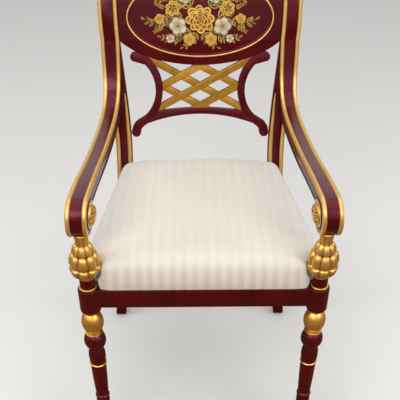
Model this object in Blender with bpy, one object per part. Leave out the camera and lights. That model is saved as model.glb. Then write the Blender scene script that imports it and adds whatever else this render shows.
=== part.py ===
"""Painted and gilded scroll-arm chair with an hourglass lattice splat and an upholstered seat.

Metres, +Z up. The front of the chair faces -Y, and left and right are as seen from the front (+X is right).
While it is modelled, the front posts stand on the line Y = 0. The root empty then centres the chair's
footprint box on the origin.
"""
import math

import bmesh
import bpy
from mathutils import Vector

LEFT, RIGHT = -1, 1
SIDES = {"left": LEFT, "right": RIGHT}

# Gap kept between pieces that touch, and how far a cutter runs past what it cuts
FIT = 0.0003
OVERRUN = 0.004

# Seat rails
RAIL_TOP_Z = 0.434
RAIL_HEIGHT = 0.041
RAIL_THICKNESS = 0.022
FRONT_RAIL_Y = -0.004
SIDE_RAIL_POST_OFFSET = 0.0082
TENON_THICKNESS = 0.008
TENON_SHOULDER = 0.006
TENON_DEPTH = 0.010
TENON_ROOT = 0.008

# Front posts: leg and arm support share one axis that leans outwards towards the top
POST_X = 0.2383
POST_LEAN = 0.045
POST_SEGMENTS = 18

# Front leg turnings, from the drum at the seat rails down to the foot
DRUM_HEIGHT = 0.0575
DRUM_RADIUS = 0.0218
NECK_RADIUS = 0.0152
BALL_HEIGHT = 0.0565
BALL_RADIUS = 0.0231
BALL_RING_HEIGHT = 0.005
BALL_RING_RADIUS = 0.0205
BULB_HEIGHT = 0.0435
BULB_RADIUS = 0.0237
BARREL_HEIGHT = 0.0395
BARREL_RADIUS = 0.0185
BARREL_RING_HEIGHT = 0.004
BARREL_RING_RADIUS = 0.0178
SHAFT_HEIGHT = 0.083
SHAFT_TOP_RADIUS = 0.0168
SHAFT_BOTTOM_RADIUS = 0.0136
BEAD_HEIGHT = 0.009
BEAD_RADIUS = 0.0155
ANKLE_TOP_RADIUS = 0.0145
ANKLE_BOTTOM_RADIUS = 0.0105
FOOT_RING_HEIGHT = 0.005
FOOT_RING_RADIUS = 0.0125
FOOT_HEIGHT = 0.022
FOOT_RADIUS = 0.0145
FOOT_BOTTOM_RADIUS = 0.011

# Arm support: from the drum up to the arm's volute
SUPPORT_RING_HEIGHT = 0.005
SUPPORT_RING_RADIUS = 0.0195
SUPPORT_COLLAR_HEIGHT = 0.023
SUPPORT_COLLAR_RADIUS = 0.0158
CARVED_TIERS = ((0.022, 0.0290), (0.030, 0.0306), (0.022, 0.0222))
CARVED_WAIST_SHARE = 0.88
SUPPORT_NECK_RADIUS = 0.0150
SUPPORT_LIP_RADIUS = 0.0165
PEG_RADIUS = 0.007
PEG_LENGTH = 0.016

# Back plane: the plane of the upper stiles' front faces, leaning back from above the seat
BACK_Y = 0.456
RECLINE = math.radians(11.77)

# Rear legs with their stiles
LEG_BLOCK_Y = 0.464
LEG_BLOCK_DEPTH = 0.033
LEG_BLOCK_MARGIN = 0.008
REAR_LEG_X = 0.1925
REAR_LEG_WIDTH = 0.039
REAR_FOOT_X = 0.2226
REAR_FOOT_Y = 0.4635
REAR_FOOT_WIDTH = 0.0276
REAR_FOOT_DEPTH = 0.030
STILE_FLARE = 0.0302
STILE_FLARE_START = 0.067
STILE_FLARE_LENGTH = 0.378
STILE_TOP_WIDTH = 0.0455
STILE_DEPTH = 0.034
STILE_ROLL_RADIUS = 0.0135
STILE_ROLL_RISE = 0.455
EDGE_CHAMFER = 0.003

# Scroll arms
ARM_WIDTH = 0.0392
ARM_THICKNESS = 0.028
ARM_LOW_Y = 0.298
ARM_LOW_RISE = 0.190
ARM_SWEEP_RISE = 0.301
ARM_SHOULDER_RISE = 0.356
ARM_SEAT_DEPTH = 0.008
ARM_FRONT_X = 0.2477
ARM_PLAN_SLOPE = -0.0594
ARM_FRONT_PULL = 0.120
ARM_REAR_PULL = 0.165
ARM_STILE_PULL = 0.090
VOLUTE_Y = 0.008
VOLUTE_RISE = 0.167
VOLUTE_RADIUS = 0.039
ROSETTE_RADIUS = 0.0205
INNER_ROSETTE_HEIGHT = 0.010
OUTER_ROSETTE_HEIGHT = 0.003
ROSETTE_SEGMENTS = 20

# Crest tablet: an oval board between the stiles
CREST_RISE = 0.408
CREST_HALF_HEIGHT = 0.1114
CREST_END_HALF_HEIGHT = 0.04915
CREST_THICKNESS = 0.020
CREST_SETBACK = 0.004
CREST_TENON_DEPTH = 0.012
CREST_TENON_HALF_HEIGHT = 0.024

# Hourglass splat
SPLAT_THICKNESS = 0.018
SPLAT_SETBACK = 0.006
WAIST_CENTRE_X = 0.2035
WAIST_TOP_ANGLE = math.radians(56)
WAIST_RADIUS = 0.102
WAIST_BOTTOM_ANGLE = math.radians(-38)
UPRIGHT_HALF_WIDTH = 0.0088
SCROLL_FOOT_X = 0.1605
SCROLL_FOOT_RISE = 0.128
SCROLL_FOOT_RADIUS = 0.0115
SCROLL_FOOT_PULL = 0.025
EAR_X = 0.1600
EAR_DROP = 0.0143
EAR_RADIUS = 0.0118
SPLAT_RAIL_DROP = 0.0443
SPLAT_RAIL_TOP_ARCH = 0.740
SPLAT_RAIL_HEIGHT = 0.0152
SPLAT_RAIL_BOTTOM_ARCH = 0.370
SPLAT_DOWEL_RADIUS = 0.003
SPLAT_DOWEL_LENGTH = 0.026

# Lattice inside the hourglass
LATTICE_LIFT = 0.0102
LATTICE_HALF_PITCH_X = 0.0468
LATTICE_HALF_PITCH_RISE = 0.0250
LATTICE_BAR_WIDTH = 0.0172
LATTICE_BAR_THICKNESS = 0.012
LATTICE_SETBACK = 0.008

# Upholstered seat
SEAT_FRONT_Y = -0.0175
SEAT_BACK_Y = 0.458
SEAT_POST_MARGIN = 0.0202
SEAT_LEG_MARGIN = 0.008
SEAT_CORNER_RADIUS = 0.030
SEAT_LEAST_CORNER = 0.004
SEAT_FOOT_INSET = 0.004
SEAT_POST_GAP = 0.001
SEAT_HEIGHT = 0.0695
SEAT_CROWN = 0.010
SEAT_BOARD_THICKNESS = 0.009
COVER_THICKNESS = 0.0015
FOAM_GAP = 0.0025
DUST_COVER_THICKNESS = 0.001
DUST_COVER_GAP = 0.003

# Corner blocks, screws and glides
BLOCK_NEAR = 0.040
BLOCK_FAR = 0.078
BLOCK_HEIGHT = 0.028
SCREW_RADIUS = 0.0022
SCREW_HEAD_RADIUS = 0.0045
SCREW_HEAD_HEIGHT = 0.003
SCREW_BITE = 0.006
ARM_SCREW_RISE = 0.240
ARM_SCREW_X = 0.2095
ARM_SCREW_BITE = 0.012
SCREW_SEGMENTS = 10
GLIDE_RADIUS = 0.0095
GLIDE_HEIGHT = 0.004
GLIDE_PIN_RADIUS = 0.0018
GLIDE_PIN_LENGTH = 0.010

# Worked out from the sizes above
SIDE_RAIL_FRONT_X = POST_X + SIDE_RAIL_POST_OFFSET
SEAT_FRONT_HALF_WIDTH = POST_X + SEAT_POST_MARGIN
SEAT_BACK_HALF_WIDTH = REAR_LEG_X + SEAT_LEG_MARGIN
RAIL_BOTTOM_Z = RAIL_TOP_Z - RAIL_HEIGHT
FOOT_Z = GLIDE_HEIGHT + FIT
VOLUTE_Z = RAIL_TOP_Z + VOLUTE_RISE
SUPPORT_TOP_Z = VOLUTE_Z - math.sqrt(VOLUTE_RADIUS**2 - SUPPORT_LIP_RADIUS**2)
REAR_RAIL_Y = LEG_BLOCK_Y + RAIL_THICKNESS / 2
SEAT_REST_Z = RAIL_TOP_Z + FIT

FINISHES = {
    "maroon_lacquer": ((0.095, 0.006, 0.010), 0.22, 0.0),
    "gilding": ((0.62, 0.36, 0.07), 0.32, 0.9),
    "striped_satin": ((0.82, 0.77, 0.67), 0.55, 0.0),
    "foam": ((0.80, 0.72, 0.45), 0.90, 0.0),
    "plywood": ((0.55, 0.36, 0.19), 0.75, 0.0),
    "beech": ((0.60, 0.40, 0.22), 0.65, 0.0),
    "steel": ((0.45, 0.45, 0.46), 0.35, 1.0),
    "dust_cloth": ((0.02, 0.02, 0.02), 0.95, 0.0),
}


def clear_scene():
    for old in list(bpy.data.objects):
        bpy.data.objects.remove(old)


def make_finish(name, colour, roughness, metallic):
    material = bpy.data.materials.new(name)
    material.use_nodes = True
    shader = material.node_tree.nodes["Principled BSDF"]
    shader.inputs["Base Color"].default_value = (*colour, 1.0)
    shader.inputs["Roughness"].default_value = roughness
    shader.inputs["Metallic"].default_value = metallic
    return material


def make_empty(name, parent=None):
    empty = bpy.data.objects.new(name, None)
    bpy.context.scene.collection.objects.link(empty)
    empty.parent = parent
    return empty


def add_object(name, shape, parent):
    """Turns a bmesh into an object with its faces pointing out."""
    bmesh.ops.remove_doubles(shape, verts=shape.verts, dist=1e-6)
    bmesh.ops.recalc_face_normals(shape, faces=shape.faces)
    mesh = bpy.data.meshes.new(name)
    shape.to_mesh(mesh)
    shape.free()
    made = bpy.data.objects.new(name, mesh)
    bpy.context.scene.collection.objects.link(made)
    made.parent = parent
    return made


def add_piece(name, shape, finish, parent, smooth_angle=None):
    piece = add_object(name, shape, parent)
    piece.data.materials.append(bpy.data.materials[finish])
    if smooth_angle is not None:
        piece.data.shade_smooth()
        piece.data.set_sharp_from_angle(angle=smooth_angle)
    return piece


def add_cutter(name, shape, parent):
    cutter = add_object(name, shape, parent)
    cutter.hide_render = True
    cutter.display_type = "WIRE"
    return cutter


def combine(piece, tool, operation):
    modifier = piece.modifiers.new(tool.name, "BOOLEAN")
    modifier.operation = operation
    modifier.solver = "EXACT"
    modifier.object = tool


def smoothstep(share):
    share = min(max(share, 0.0), 1.0)
    return share * share * (3 - 2 * share)


def lerp(start, end, share):
    return start + (end - start) * share


def loft(rings):
    """Skins equal rings of points, with a face across each end."""
    shape = bmesh.new()
    rows = [[shape.verts.new(point) for point in ring] for ring in rings]
    for low, high in zip(rows, rows[1:]):
        for i in range(len(low)):
            j = (i + 1) % len(low)
            shape.faces.new((low[i], low[j], high[j], high[i]))
    shape.faces.new(rows[0][::-1])
    shape.faces.new(rows[-1])
    return shape


def plan_prism(outline, low, high):
    """An outline in X and Y, from one height to another."""
    return loft([[(x, y, z) for x, y in outline] for z in (low, high)])


def back_prism(outline, front, thickness):
    """An outline in the back plane's own X and Y, from its front face backwards."""
    return loft([[(x, y, z) for x, y in outline] for z in (front - thickness, front)])


def box(low, high):
    outline = ((low[0], low[1]), (high[0], low[1]), (high[0], high[1]), (low[0], high[1]))
    return plan_prism(outline, low[2], high[2])


def spun(profile, segments):
    """Turns a profile of (radius, height) points about Z. It starts and ends on the axis."""
    shape = bmesh.new()
    points = [shape.verts.new((radius, 0.0, height)) for radius, height in profile]
    edges = [shape.edges.new(pair) for pair in zip(points, points[1:])]
    bmesh.ops.spin(
        shape,
        geom=points + edges,
        cent=(0, 0, 0),
        axis=(0, 0, 1),
        angle=math.tau,
        steps=segments,
    )
    return shape


def swelling(top, height, top_radius, belly, bottom_radius, steps):
    """Profile of a round turning: an elliptic bulge between two end radii, from the top down."""
    points = []
    for i in range(steps + 1):
        share = i / steps
        end = top_radius if share < 0.5 else bottom_radius
        radius = math.sqrt(belly**2 - (belly**2 - end**2) * (2 * share - 1) ** 2)
        points.append((radius, top - height * share))
    return points


def ring_turning(top, height, radius, root):
    """Profile of a half-round ring that stands out from its root radius."""
    return [
        (root, top),
        (radius, top - 0.25 * height),
        (radius, top - 0.75 * height),
        (root, top - height),
    ]


def post_x(height):
    """Distance of the post's leaning axis from the chair's middle at a height."""
    return POST_X + POST_LEAN * (height - RAIL_TOP_Z)


def lean(shape, side):
    """Moves each level of a shape that was turned about Z onto the leaning post axis."""
    for vertex in shape.verts:
        vertex.co.x = side * (vertex.co.x + post_x(vertex.co.z))
    return shape


def shift(shape, offset):
    bmesh.ops.translate(shape, verts=shape.verts, vec=offset)
    return shape


def back_point(x, rise, forward):
    """Chair point of a place in the back plane: across, up along the plane, and forward of it."""
    return Vector(
        (
            x,
            BACK_Y + rise * math.sin(RECLINE) - forward * math.cos(RECLINE),
            RAIL_TOP_Z + rise * math.cos(RECLINE) + forward * math.sin(RECLINE),
        )
    )


def stile_x(rise):
    """Centre line of the stile in the back plane: upright at the seat, then flaring outwards."""
    share = (rise - STILE_FLARE_START) / STILE_FLARE_LENGTH
    return REAR_LEG_X + STILE_FLARE * smoothstep(share)


def stile_width(rise):
    return lerp(REAR_LEG_WIDTH, STILE_TOP_WIDTH, smoothstep(rise / STILE_ROLL_RISE))


def stile_inner_x(rise):
    return stile_x(rise) - stile_width(rise) / 2


def chamfered(width, depth):
    """Corners of a rectangle with cut edges: across from its middle, and back from its front."""
    half = width / 2
    cut = min(EDGE_CHAMFER, depth / 4)
    return (
        (-half + cut, 0.0),
        (half - cut, 0.0),
        (half, cut),
        (half, depth - cut),
        (half - cut, depth),
        (-half + cut, depth),
        (-half, depth - cut),
        (-half, cut),
    )


def leg_ring(side, x, front_y, z, width, depth):
    """Level ring of the rear leg below the back plane's start."""
    return [(side * (x + across), front_y + back, z) for across, back in chamfered(width, depth)]


def stile_ring(side, rise, front, back):
    """Ring of the stile square to the back plane, between two depths behind that plane."""
    corners = chamfered(stile_width(rise), back - front)
    return [back_point(side * (stile_x(rise) + across), rise, -front - into) for across, into in corners]


def rear_leg_rings(side):
    rings = []
    block_low = RAIL_BOTTOM_Z - LEG_BLOCK_MARGIN
    sweep_steps = 6
    for i in range(sweep_steps):
        share = smoothstep(i / sweep_steps) ** 0.8
        rings.append(
            leg_ring(
                side,
                lerp(REAR_FOOT_X, REAR_LEG_X, share),
                lerp(REAR_FOOT_Y, LEG_BLOCK_Y, share),
                lerp(FOOT_Z, block_low, i / sweep_steps),
                lerp(REAR_FOOT_WIDTH, REAR_LEG_WIDTH, share),
                lerp(REAR_FOOT_DEPTH, LEG_BLOCK_DEPTH, share),
            )
        )
    for z in (block_low, RAIL_TOP_Z):
        rings.append(leg_ring(side, REAR_LEG_X, LEG_BLOCK_Y, z, REAR_LEG_WIDTH, LEG_BLOCK_DEPTH))
    start = 4 * LEG_BLOCK_MARGIN
    lower_steps = 10
    for i in range(lower_steps + 1):
        rise = lerp(start, ARM_SHOULDER_RISE, i / lower_steps)
        rings.append(stile_ring(side, rise, ARM_SEAT_DEPTH, STILE_DEPTH))
    upper_steps = 4
    roll_depth = 2 * STILE_ROLL_RADIUS
    for i in range(upper_steps + 1):
        rise = lerp(ARM_SHOULDER_RISE + FIT, STILE_ROLL_RISE, i / upper_steps)
        rings.append(stile_ring(side, rise, 0.0, lerp(STILE_DEPTH, roll_depth, i / upper_steps)))
    for turn in (25, 50, 75):
        angle = math.radians(turn)
        hollow = STILE_ROLL_RADIUS * (1 - math.cos(angle))
        rise = STILE_ROLL_RISE + STILE_ROLL_RADIUS * math.sin(angle)
        rings.append(stile_ring(side, rise, hollow, roll_depth - hollow))
    return rings


def rail_direction():
    """Unit plan direction of the right side rail, from front to rear."""
    along = Vector((REAR_LEG_X - SIDE_RAIL_FRONT_X, LEG_BLOCK_Y))
    return along.normalized()


def side_rail_x(y, offset=0.0):
    """X of the right side rail's centre line at Y, moved outwards by an offset square to the rail."""
    along = rail_direction()
    return SIDE_RAIL_FRONT_X + along.x / along.y * y + offset / along.y


def side_quad(half_width, start_y, end_y, side):
    """Plan outline of a stretch of side rail, or of its tenon."""
    points = (
        (side_rail_x(start_y, half_width), start_y),
        (side_rail_x(end_y, half_width), end_y),
        (side_rail_x(end_y, -half_width), end_y),
        (side_rail_x(start_y, -half_width), start_y),
    )
    return [(side * x, y) for x, y in points]


def drum_entry_y():
    """Where the side rail's centre line meets the back of the drum."""
    return math.sqrt(DRUM_RADIUS**2 - SIDE_RAIL_POST_OFFSET**2)


def tenon_shapes(side, grow):
    """The four tenons of one side: in the drum from the front and side rails, in the rear leg from the
    side and rear rails. A mortise is the same shape grown by the fit."""
    low, high = RAIL_BOTTOM_Z + TENON_SHOULDER - grow, RAIL_TOP_Z - TENON_SHOULDER + grow
    half = TENON_THICKNESS / 2 + grow
    mid_x = post_x((RAIL_TOP_Z + RAIL_BOTTOM_Z) / 2)
    front_x = sorted(
        (side * (mid_x - DRUM_RADIUS - TENON_ROOT), side * (mid_x - DRUM_RADIUS + TENON_DEPTH + grow))
    )
    rear_face = REAR_LEG_X - REAR_LEG_WIDTH / 2
    rear_x = sorted((side * (rear_face - TENON_ROOT), side * (rear_face + TENON_DEPTH + grow)))
    entry = drum_entry_y()
    return {
        "front_rail": box((front_x[0], FRONT_RAIL_Y - half, low), (front_x[1], FRONT_RAIL_Y + half, high)),
        "side_rail_front": plan_prism(
            side_quad(half, entry - TENON_DEPTH - grow, entry + TENON_ROOT, side), low, high
        ),
        "side_rail_rear": plan_prism(
            side_quad(half, LEG_BLOCK_Y - TENON_ROOT, LEG_BLOCK_Y + TENON_DEPTH + grow, side), low, high
        ),
        "rear_rail": box((rear_x[0], REAR_RAIL_Y - half, low), (rear_x[1], REAR_RAIL_Y + half, high)),
    }


def cut_mortises(leg, side_name, names, root):
    shapes = tenon_shapes(SIDES[side_name], FIT)
    for name, shape in shapes.items():
        if name in names:
            combine(leg, add_cutter(f"{side_name}_{name}_mortise", shape, root), "DIFFERENCE")
        else:
            shape.free()


def add_tenon(rail, side_name, name, root):
    for key, shape in tenon_shapes(SIDES[side_name], 0.0).items():
        if key == name:
            combine(rail, add_cutter(f"{side_name}_{name}_tenon", shape, root), "UNION")
        else:
            shape.free()


def drum_cutter(side_name, root):
    """The drum with its fit, which copes the ends of the rails around it."""
    radius = DRUM_RADIUS + FIT
    low, high = RAIL_BOTTOM_Z - OVERRUN, RAIL_TOP_Z + OVERRUN
    shape = spun([(0, high), (radius, high), (radius, low), (0, low)], 2 * POST_SEGMENTS)
    return add_cutter(f"{side_name}_drum_cope", lean(shape, SIDES[side_name]), root)


def front_leg_profile():
    top = RAIL_TOP_Z
    profile = [(0, top), (DRUM_RADIUS, top)]
    top -= DRUM_HEIGHT
    profile.append((DRUM_RADIUS, top))
    profile += swelling(top, BALL_HEIGHT, NECK_RADIUS, BALL_RADIUS, NECK_RADIUS, 6)
    top -= BALL_HEIGHT
    profile += ring_turning(top, BALL_RING_HEIGHT, BALL_RING_RADIUS, NECK_RADIUS)
    top -= BALL_RING_HEIGHT
    profile += swelling(top, BULB_HEIGHT, NECK_RADIUS, BULB_RADIUS, NECK_RADIUS, 6)
    top -= BULB_HEIGHT
    profile += swelling(top, BARREL_HEIGHT, NECK_RADIUS, BARREL_RADIUS, SHAFT_TOP_RADIUS, 4)[1:]
    top -= BARREL_HEIGHT
    profile += ring_turning(top, BARREL_RING_HEIGHT, BARREL_RING_RADIUS, SHAFT_TOP_RADIUS)[1:]
    top -= BARREL_RING_HEIGHT + SHAFT_HEIGHT
    profile += ring_turning(top, BEAD_HEIGHT, BEAD_RADIUS, SHAFT_BOTTOM_RADIUS)
    top -= BEAD_HEIGHT
    profile.append((ANKLE_TOP_RADIUS, top - BEAD_HEIGHT / 2))
    foot_ring_top = FOOT_Z + FOOT_HEIGHT + FOOT_RING_HEIGHT
    profile += ring_turning(foot_ring_top, FOOT_RING_HEIGHT, FOOT_RING_RADIUS, ANKLE_BOTTOM_RADIUS)
    profile += swelling(
        FOOT_Z + FOOT_HEIGHT, FOOT_HEIGHT, ANKLE_BOTTOM_RADIUS, FOOT_RADIUS, FOOT_BOTTOM_RADIUS, 4
    )[1:]
    profile.append((0, FOOT_Z))
    return profile


def peg_hole(name, mouth, depth_direction, seat_radius, root, side):
    """Round hole for a support's peg, with a shallow seat that opens away from the wood."""
    radius = PEG_RADIUS + FIT
    end = mouth + depth_direction * (PEG_LENGTH + FIT)
    outside = mouth - depth_direction * OVERRUN
    profile = [(0, outside), (seat_radius, outside), (seat_radius, mouth), (radius, mouth), (radius, end), (0, end)]
    return add_cutter(name, lean(spun(profile, POST_SEGMENTS), side), root)


def build_front_leg(side_name, root):
    side = SIDES[side_name]
    shape = lean(spun(front_leg_profile(), POST_SEGMENTS), side)
    leg = add_piece(f"{side_name}_front_leg", shape, "maroon_lacquer", root, math.radians(40))
    cut_mortises(leg, side_name, ("front_rail", "side_rail_front"), root)
    hole = peg_hole(f"{side_name}_leg_peg_hole", RAIL_TOP_Z, -1, PEG_RADIUS + FIT, root, side)
    combine(leg, hole, "DIFFERENCE")
    add_glide(f"{side_name}_front", leg, side * post_x(0.0), 0.0, root)


def carved_profile(top):
    """Profile of the carved bulb, its tiers stacked from the top tier down."""
    tiers = CARVED_TIERS[::-1]
    bellies = [belly for _, belly in tiers]
    waists = [CARVED_WAIST_SHARE * min(pair) for pair in zip(bellies, bellies[1:])]
    upper_radii = [SUPPORT_NECK_RADIUS] + waists
    lower_radii = waists + [SUPPORT_COLLAR_RADIUS]
    profile = []
    for (height, belly), upper, lower in zip(tiers, upper_radii, lower_radii):
        profile += swelling(top, height, upper, belly, lower, 4)
        top -= height
    return profile


def support_profile():
    base = RAIL_TOP_Z + FIT
    collar_top = base + SUPPORT_RING_HEIGHT + SUPPORT_COLLAR_HEIGHT
    carved_top = collar_top + sum(height for height, _ in CARVED_TIERS)
    top = SUPPORT_TOP_Z - FIT
    profile = [(0, top + PEG_LENGTH), (PEG_RADIUS, top + PEG_LENGTH), (PEG_RADIUS, top)]
    profile += [(SUPPORT_LIP_RADIUS, top), (SUPPORT_NECK_RADIUS, lerp(top, carved_top, 0.4))]
    profile.append((SUPPORT_NECK_RADIUS, carved_top))
    profile += carved_profile(carved_top)
    profile += [(SUPPORT_COLLAR_RADIUS, collar_top)]
    profile += ring_turning(
        base + SUPPORT_RING_HEIGHT, SUPPORT_RING_HEIGHT, SUPPORT_RING_RADIUS, SUPPORT_COLLAR_RADIUS
    )
    profile += [(PEG_RADIUS, base), (PEG_RADIUS, base - PEG_LENGTH), (0, base - PEG_LENGTH)]
    return profile


def build_arm_support(side_name, root):
    shape = lean(spun(support_profile(), POST_SEGMENTS), SIDES[side_name])
    add_piece(f"{side_name}_arm_support", shape, "gilding", root, math.radians(40))


def bezier(points, steps):
    """Points of a cubic curve through its first and last control points."""
    first, second, third, last = (Vector(point) for point in points)
    curve = []
    for i in range(steps + 1):
        t = i / steps
        u = 1 - t
        curve.append(u**3 * first + 3 * u * u * t * second + 3 * u * t * t * third + t**3 * last)
    return curve


def plane_yz(rise, forward=0.0):
    """Side view of a place in the back plane, as (Y, Z)."""
    point = back_point(0.0, rise, forward)
    return Vector((point.y, point.z))


def arm_top_line():
    """Upper face of the arm in side view, from the top of the volute back and up to its end in the stile."""
    volute_top = Vector((VOLUTE_Y, VOLUTE_Z + VOLUTE_RADIUS))
    low = Vector((ARM_LOW_Y, RAIL_TOP_Z + ARM_LOW_RISE))
    sweep = plane_yz(ARM_SWEEP_RISE)
    end = plane_yz(ARM_SHOULDER_RISE - FIT)
    up_plane = (end - sweep).normalized()
    forward_pull = Vector((ARM_FRONT_PULL, 0))
    rear_pull = Vector((ARM_REAR_PULL, 0))
    line = bezier((volute_top, volute_top + forward_pull, low - forward_pull, low), 8)
    line += bezier((low, low + rear_pull, sweep - ARM_STILE_PULL * up_plane, sweep), 12)[1:]
    return line + [end]


def behind_plane(point):
    """How far a side-view point lies behind the back plane."""
    offset = point - plane_yz(0.0)
    return offset.x * math.cos(RECLINE) - offset.y * math.sin(RECLINE)


def arm_under_line(top_line):
    """Lower face of the arm in side view, from the volute back to where it meets the stile."""
    seat = ARM_SEAT_DEPTH - FIT
    centre = Vector((VOLUTE_Y, VOLUTE_Z))
    under = []
    for before, here, after in zip(top_line, top_line[1:], top_line[2:]):
        along = (after - before).normalized()
        point = here + ARM_THICKNESS * Vector((along.y, -along.x))
        if (point - centre).length <= VOLUTE_RADIUS:
            continue
        if under and behind_plane(point) > seat:
            last = under[-1]
            gone = behind_plane(last)
            under.append(last.lerp(point, (seat - gone) / (behind_plane(point) - gone)))
            break
        under.append(point)
    return under


def arm_outline():
    """Side view of the arm as (Y, Z): along the top, down the stile, back under, and round the volute."""
    top = arm_top_line()
    under = arm_under_line(top)
    end = plane_yz(ARM_SHOULDER_RISE - FIT, FIT - ARM_SEAT_DEPTH)
    start = under[0] - Vector((VOLUTE_Y, VOLUTE_Z))
    first_angle = math.atan2(start.y, start.x)
    steps = 18
    volute = []
    for i in range(1, steps):
        angle = lerp(first_angle, math.pi / 2 - math.tau, i / steps)
        volute.append(
            Vector((VOLUTE_Y + VOLUTE_RADIUS * math.cos(angle), VOLUTE_Z + VOLUTE_RADIUS * math.sin(angle)))
        )
    return top + [end] + under[::-1] + volute


def arm_x(y, z):
    """Plan line of the arm: straight from the volute, then drawn onto the stile at the top."""
    straight = ARM_FRONT_X + ARM_PLAN_SLOPE * (y + VOLUTE_RADIUS - VOLUTE_Y)
    return lerp(straight, stile_x(ARM_SHOULDER_RISE), stile_share(y, z))


def stile_share(y, z):
    """How far a side-view place of the arm has come onto the stile: 0 on the arm, 1 at the shoulder."""
    low = plane_yz(ARM_LOW_RISE).y
    high = plane_yz(ARM_SHOULDER_RISE).y
    climb = smoothstep((z - low) / (high - low))
    return climb * smoothstep((y - ARM_LOW_Y) / (BACK_Y - ARM_LOW_Y))


def arm_half_width(y, z):
    return lerp(ARM_WIDTH, stile_width(ARM_SHOULDER_RISE), stile_share(y, z)) / 2


def build_arm(side_name, root):
    side = SIDES[side_name]
    outline = arm_outline()
    rings = [
        [(side * (arm_x(y, z) + across * arm_half_width(y, z)), y, z) for y, z in outline] for across in (-1, 1)
    ]
    arm = add_piece(f"{side_name}_arm", loft(rings), "maroon_lacquer", root, math.radians(30))
    mouth = SUPPORT_TOP_Z
    hole = peg_hole(f"{side_name}_arm_peg_hole", mouth, 1, SUPPORT_LIP_RADIUS + FIT, root, side)
    combine(arm, hole, "DIFFERENCE")
    for face, across, height in (("inner", -1, INNER_ROSETTE_HEIGHT), ("outer", 1, OUTER_ROSETTE_HEIGHT)):
        build_rosette(f"{side_name}_{face}_rosette", side, across, height, root)


def build_rosette(name, side, across, height, root):
    """Low domed disc on one side of the volute, square to that side."""
    profile = [(0, height), (0.45 * ROSETTE_RADIUS, 0.95 * height), (0.8 * ROSETTE_RADIUS, 0.75 * height)]
    profile += [(ROSETTE_RADIUS, 0.5 * height), (ROSETTE_RADIUS, 0), (0, 0)]
    rosette = add_piece(name, spun(profile, ROSETTE_SEGMENTS), "gilding", root, math.radians(30))
    outward = Vector((across, -across * ARM_PLAN_SLOPE, 0)).normalized()
    face = Vector((arm_x(VOLUTE_Y, VOLUTE_Z) + across * ARM_WIDTH / 2, VOLUTE_Y, VOLUTE_Z))
    place = face + FIT * outward
    place.x *= side
    outward.x *= side
    rosette.location = place
    rosette.rotation_euler = outward.to_track_quat("Z", "Y").to_euler()


def build_rear_leg(side_name, root):
    leg = add_piece(f"{side_name}_rear_leg", loft(rear_leg_rings(SIDES[side_name])), "maroon_lacquer", root)
    cut_mortises(leg, side_name, ("side_rail_rear", "rear_rail"), root)
    foot_y = REAR_FOOT_Y + REAR_FOOT_DEPTH / 2
    add_glide(f"{side_name}_rear", leg, SIDES[side_name] * REAR_FOOT_X, foot_y, root)
    return leg


def add_glide(place, leg, x, y, root):
    """Nail-on glide under a foot, with its pin in the wood."""
    profile = [(0, FOOT_Z + GLIDE_PIN_LENGTH), (GLIDE_PIN_RADIUS, FOOT_Z + GLIDE_PIN_LENGTH)]
    profile += [(GLIDE_PIN_RADIUS, GLIDE_HEIGHT), (GLIDE_RADIUS, GLIDE_HEIGHT)]
    profile += [(GLIDE_RADIUS, 0.3 * GLIDE_HEIGHT), (0.85 * GLIDE_RADIUS, 0), (0, 0)]
    glide = shift(spun(profile, SCREW_SEGMENTS), (x, y, 0))
    add_piece(f"{place}_glide", glide, "steel", root, math.radians(40))
    radius = GLIDE_PIN_RADIUS + FIT
    end = FOOT_Z + GLIDE_PIN_LENGTH + FIT
    bore = spun([(0, end), (radius, end), (radius, 0), (0, 0)], SCREW_SEGMENTS)
    combine(leg, add_cutter(f"{place}_glide_hole", shift(bore, (x, y, 0)), root), "DIFFERENCE")


def build_rails(root):
    copes = {name: drum_cutter(name, root) for name in SIDES}
    half = RAIL_THICKNESS / 2
    reach = post_x(RAIL_TOP_Z)
    shape = box((-reach, FRONT_RAIL_Y - half, RAIL_BOTTOM_Z), (reach, FRONT_RAIL_Y + half, RAIL_TOP_Z))
    front = add_piece("front_rail", shape, "maroon_lacquer", root)
    reach = REAR_LEG_X - REAR_LEG_WIDTH / 2 - FIT
    shape = box((-reach, REAR_RAIL_Y - half, RAIL_BOTTOM_Z), (reach, REAR_RAIL_Y + half, RAIL_TOP_Z))
    rear = add_piece("rear_rail", shape, "maroon_lacquer", root)
    for name, side in SIDES.items():
        combine(front, copes[name], "DIFFERENCE")
        outline = side_quad(half, 0.0, LEG_BLOCK_Y - FIT, side)
        rail = add_piece(f"{name}_rail", plan_prism(outline, RAIL_BOTTOM_Z, RAIL_TOP_Z), "maroon_lacquer", root)
        combine(rail, copes[name], "DIFFERENCE")
        add_tenon(rail, name, "side_rail_front", root)
        add_tenon(rail, name, "side_rail_rear", root)
    for name in SIDES:
        add_tenon(front, name, "front_rail", root)
        add_tenon(rear, name, "rear_rail", root)


def rail_corners(gap):
    """Plan corners of the space inside the rails, each with the two directions along its rails."""
    along = rail_direction()
    inset = -(RAIL_THICKNESS / 2 + gap)
    front_y = FRONT_RAIL_Y + RAIL_THICKNESS / 2 + gap
    rear_y = REAR_RAIL_Y - RAIL_THICKNESS / 2 - gap
    corners = {}
    for name, side in SIDES.items():
        inward = Vector((-side, 0))
        to_rear = Vector((side * along.x, along.y))
        corners[f"front_{name}"] = (Vector((side * side_rail_x(front_y, inset), front_y)), inward, to_rear)
        corners[f"rear_{name}"] = (Vector((side * side_rail_x(rear_y, inset), rear_y)), inward, -to_rear)
    return corners


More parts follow.
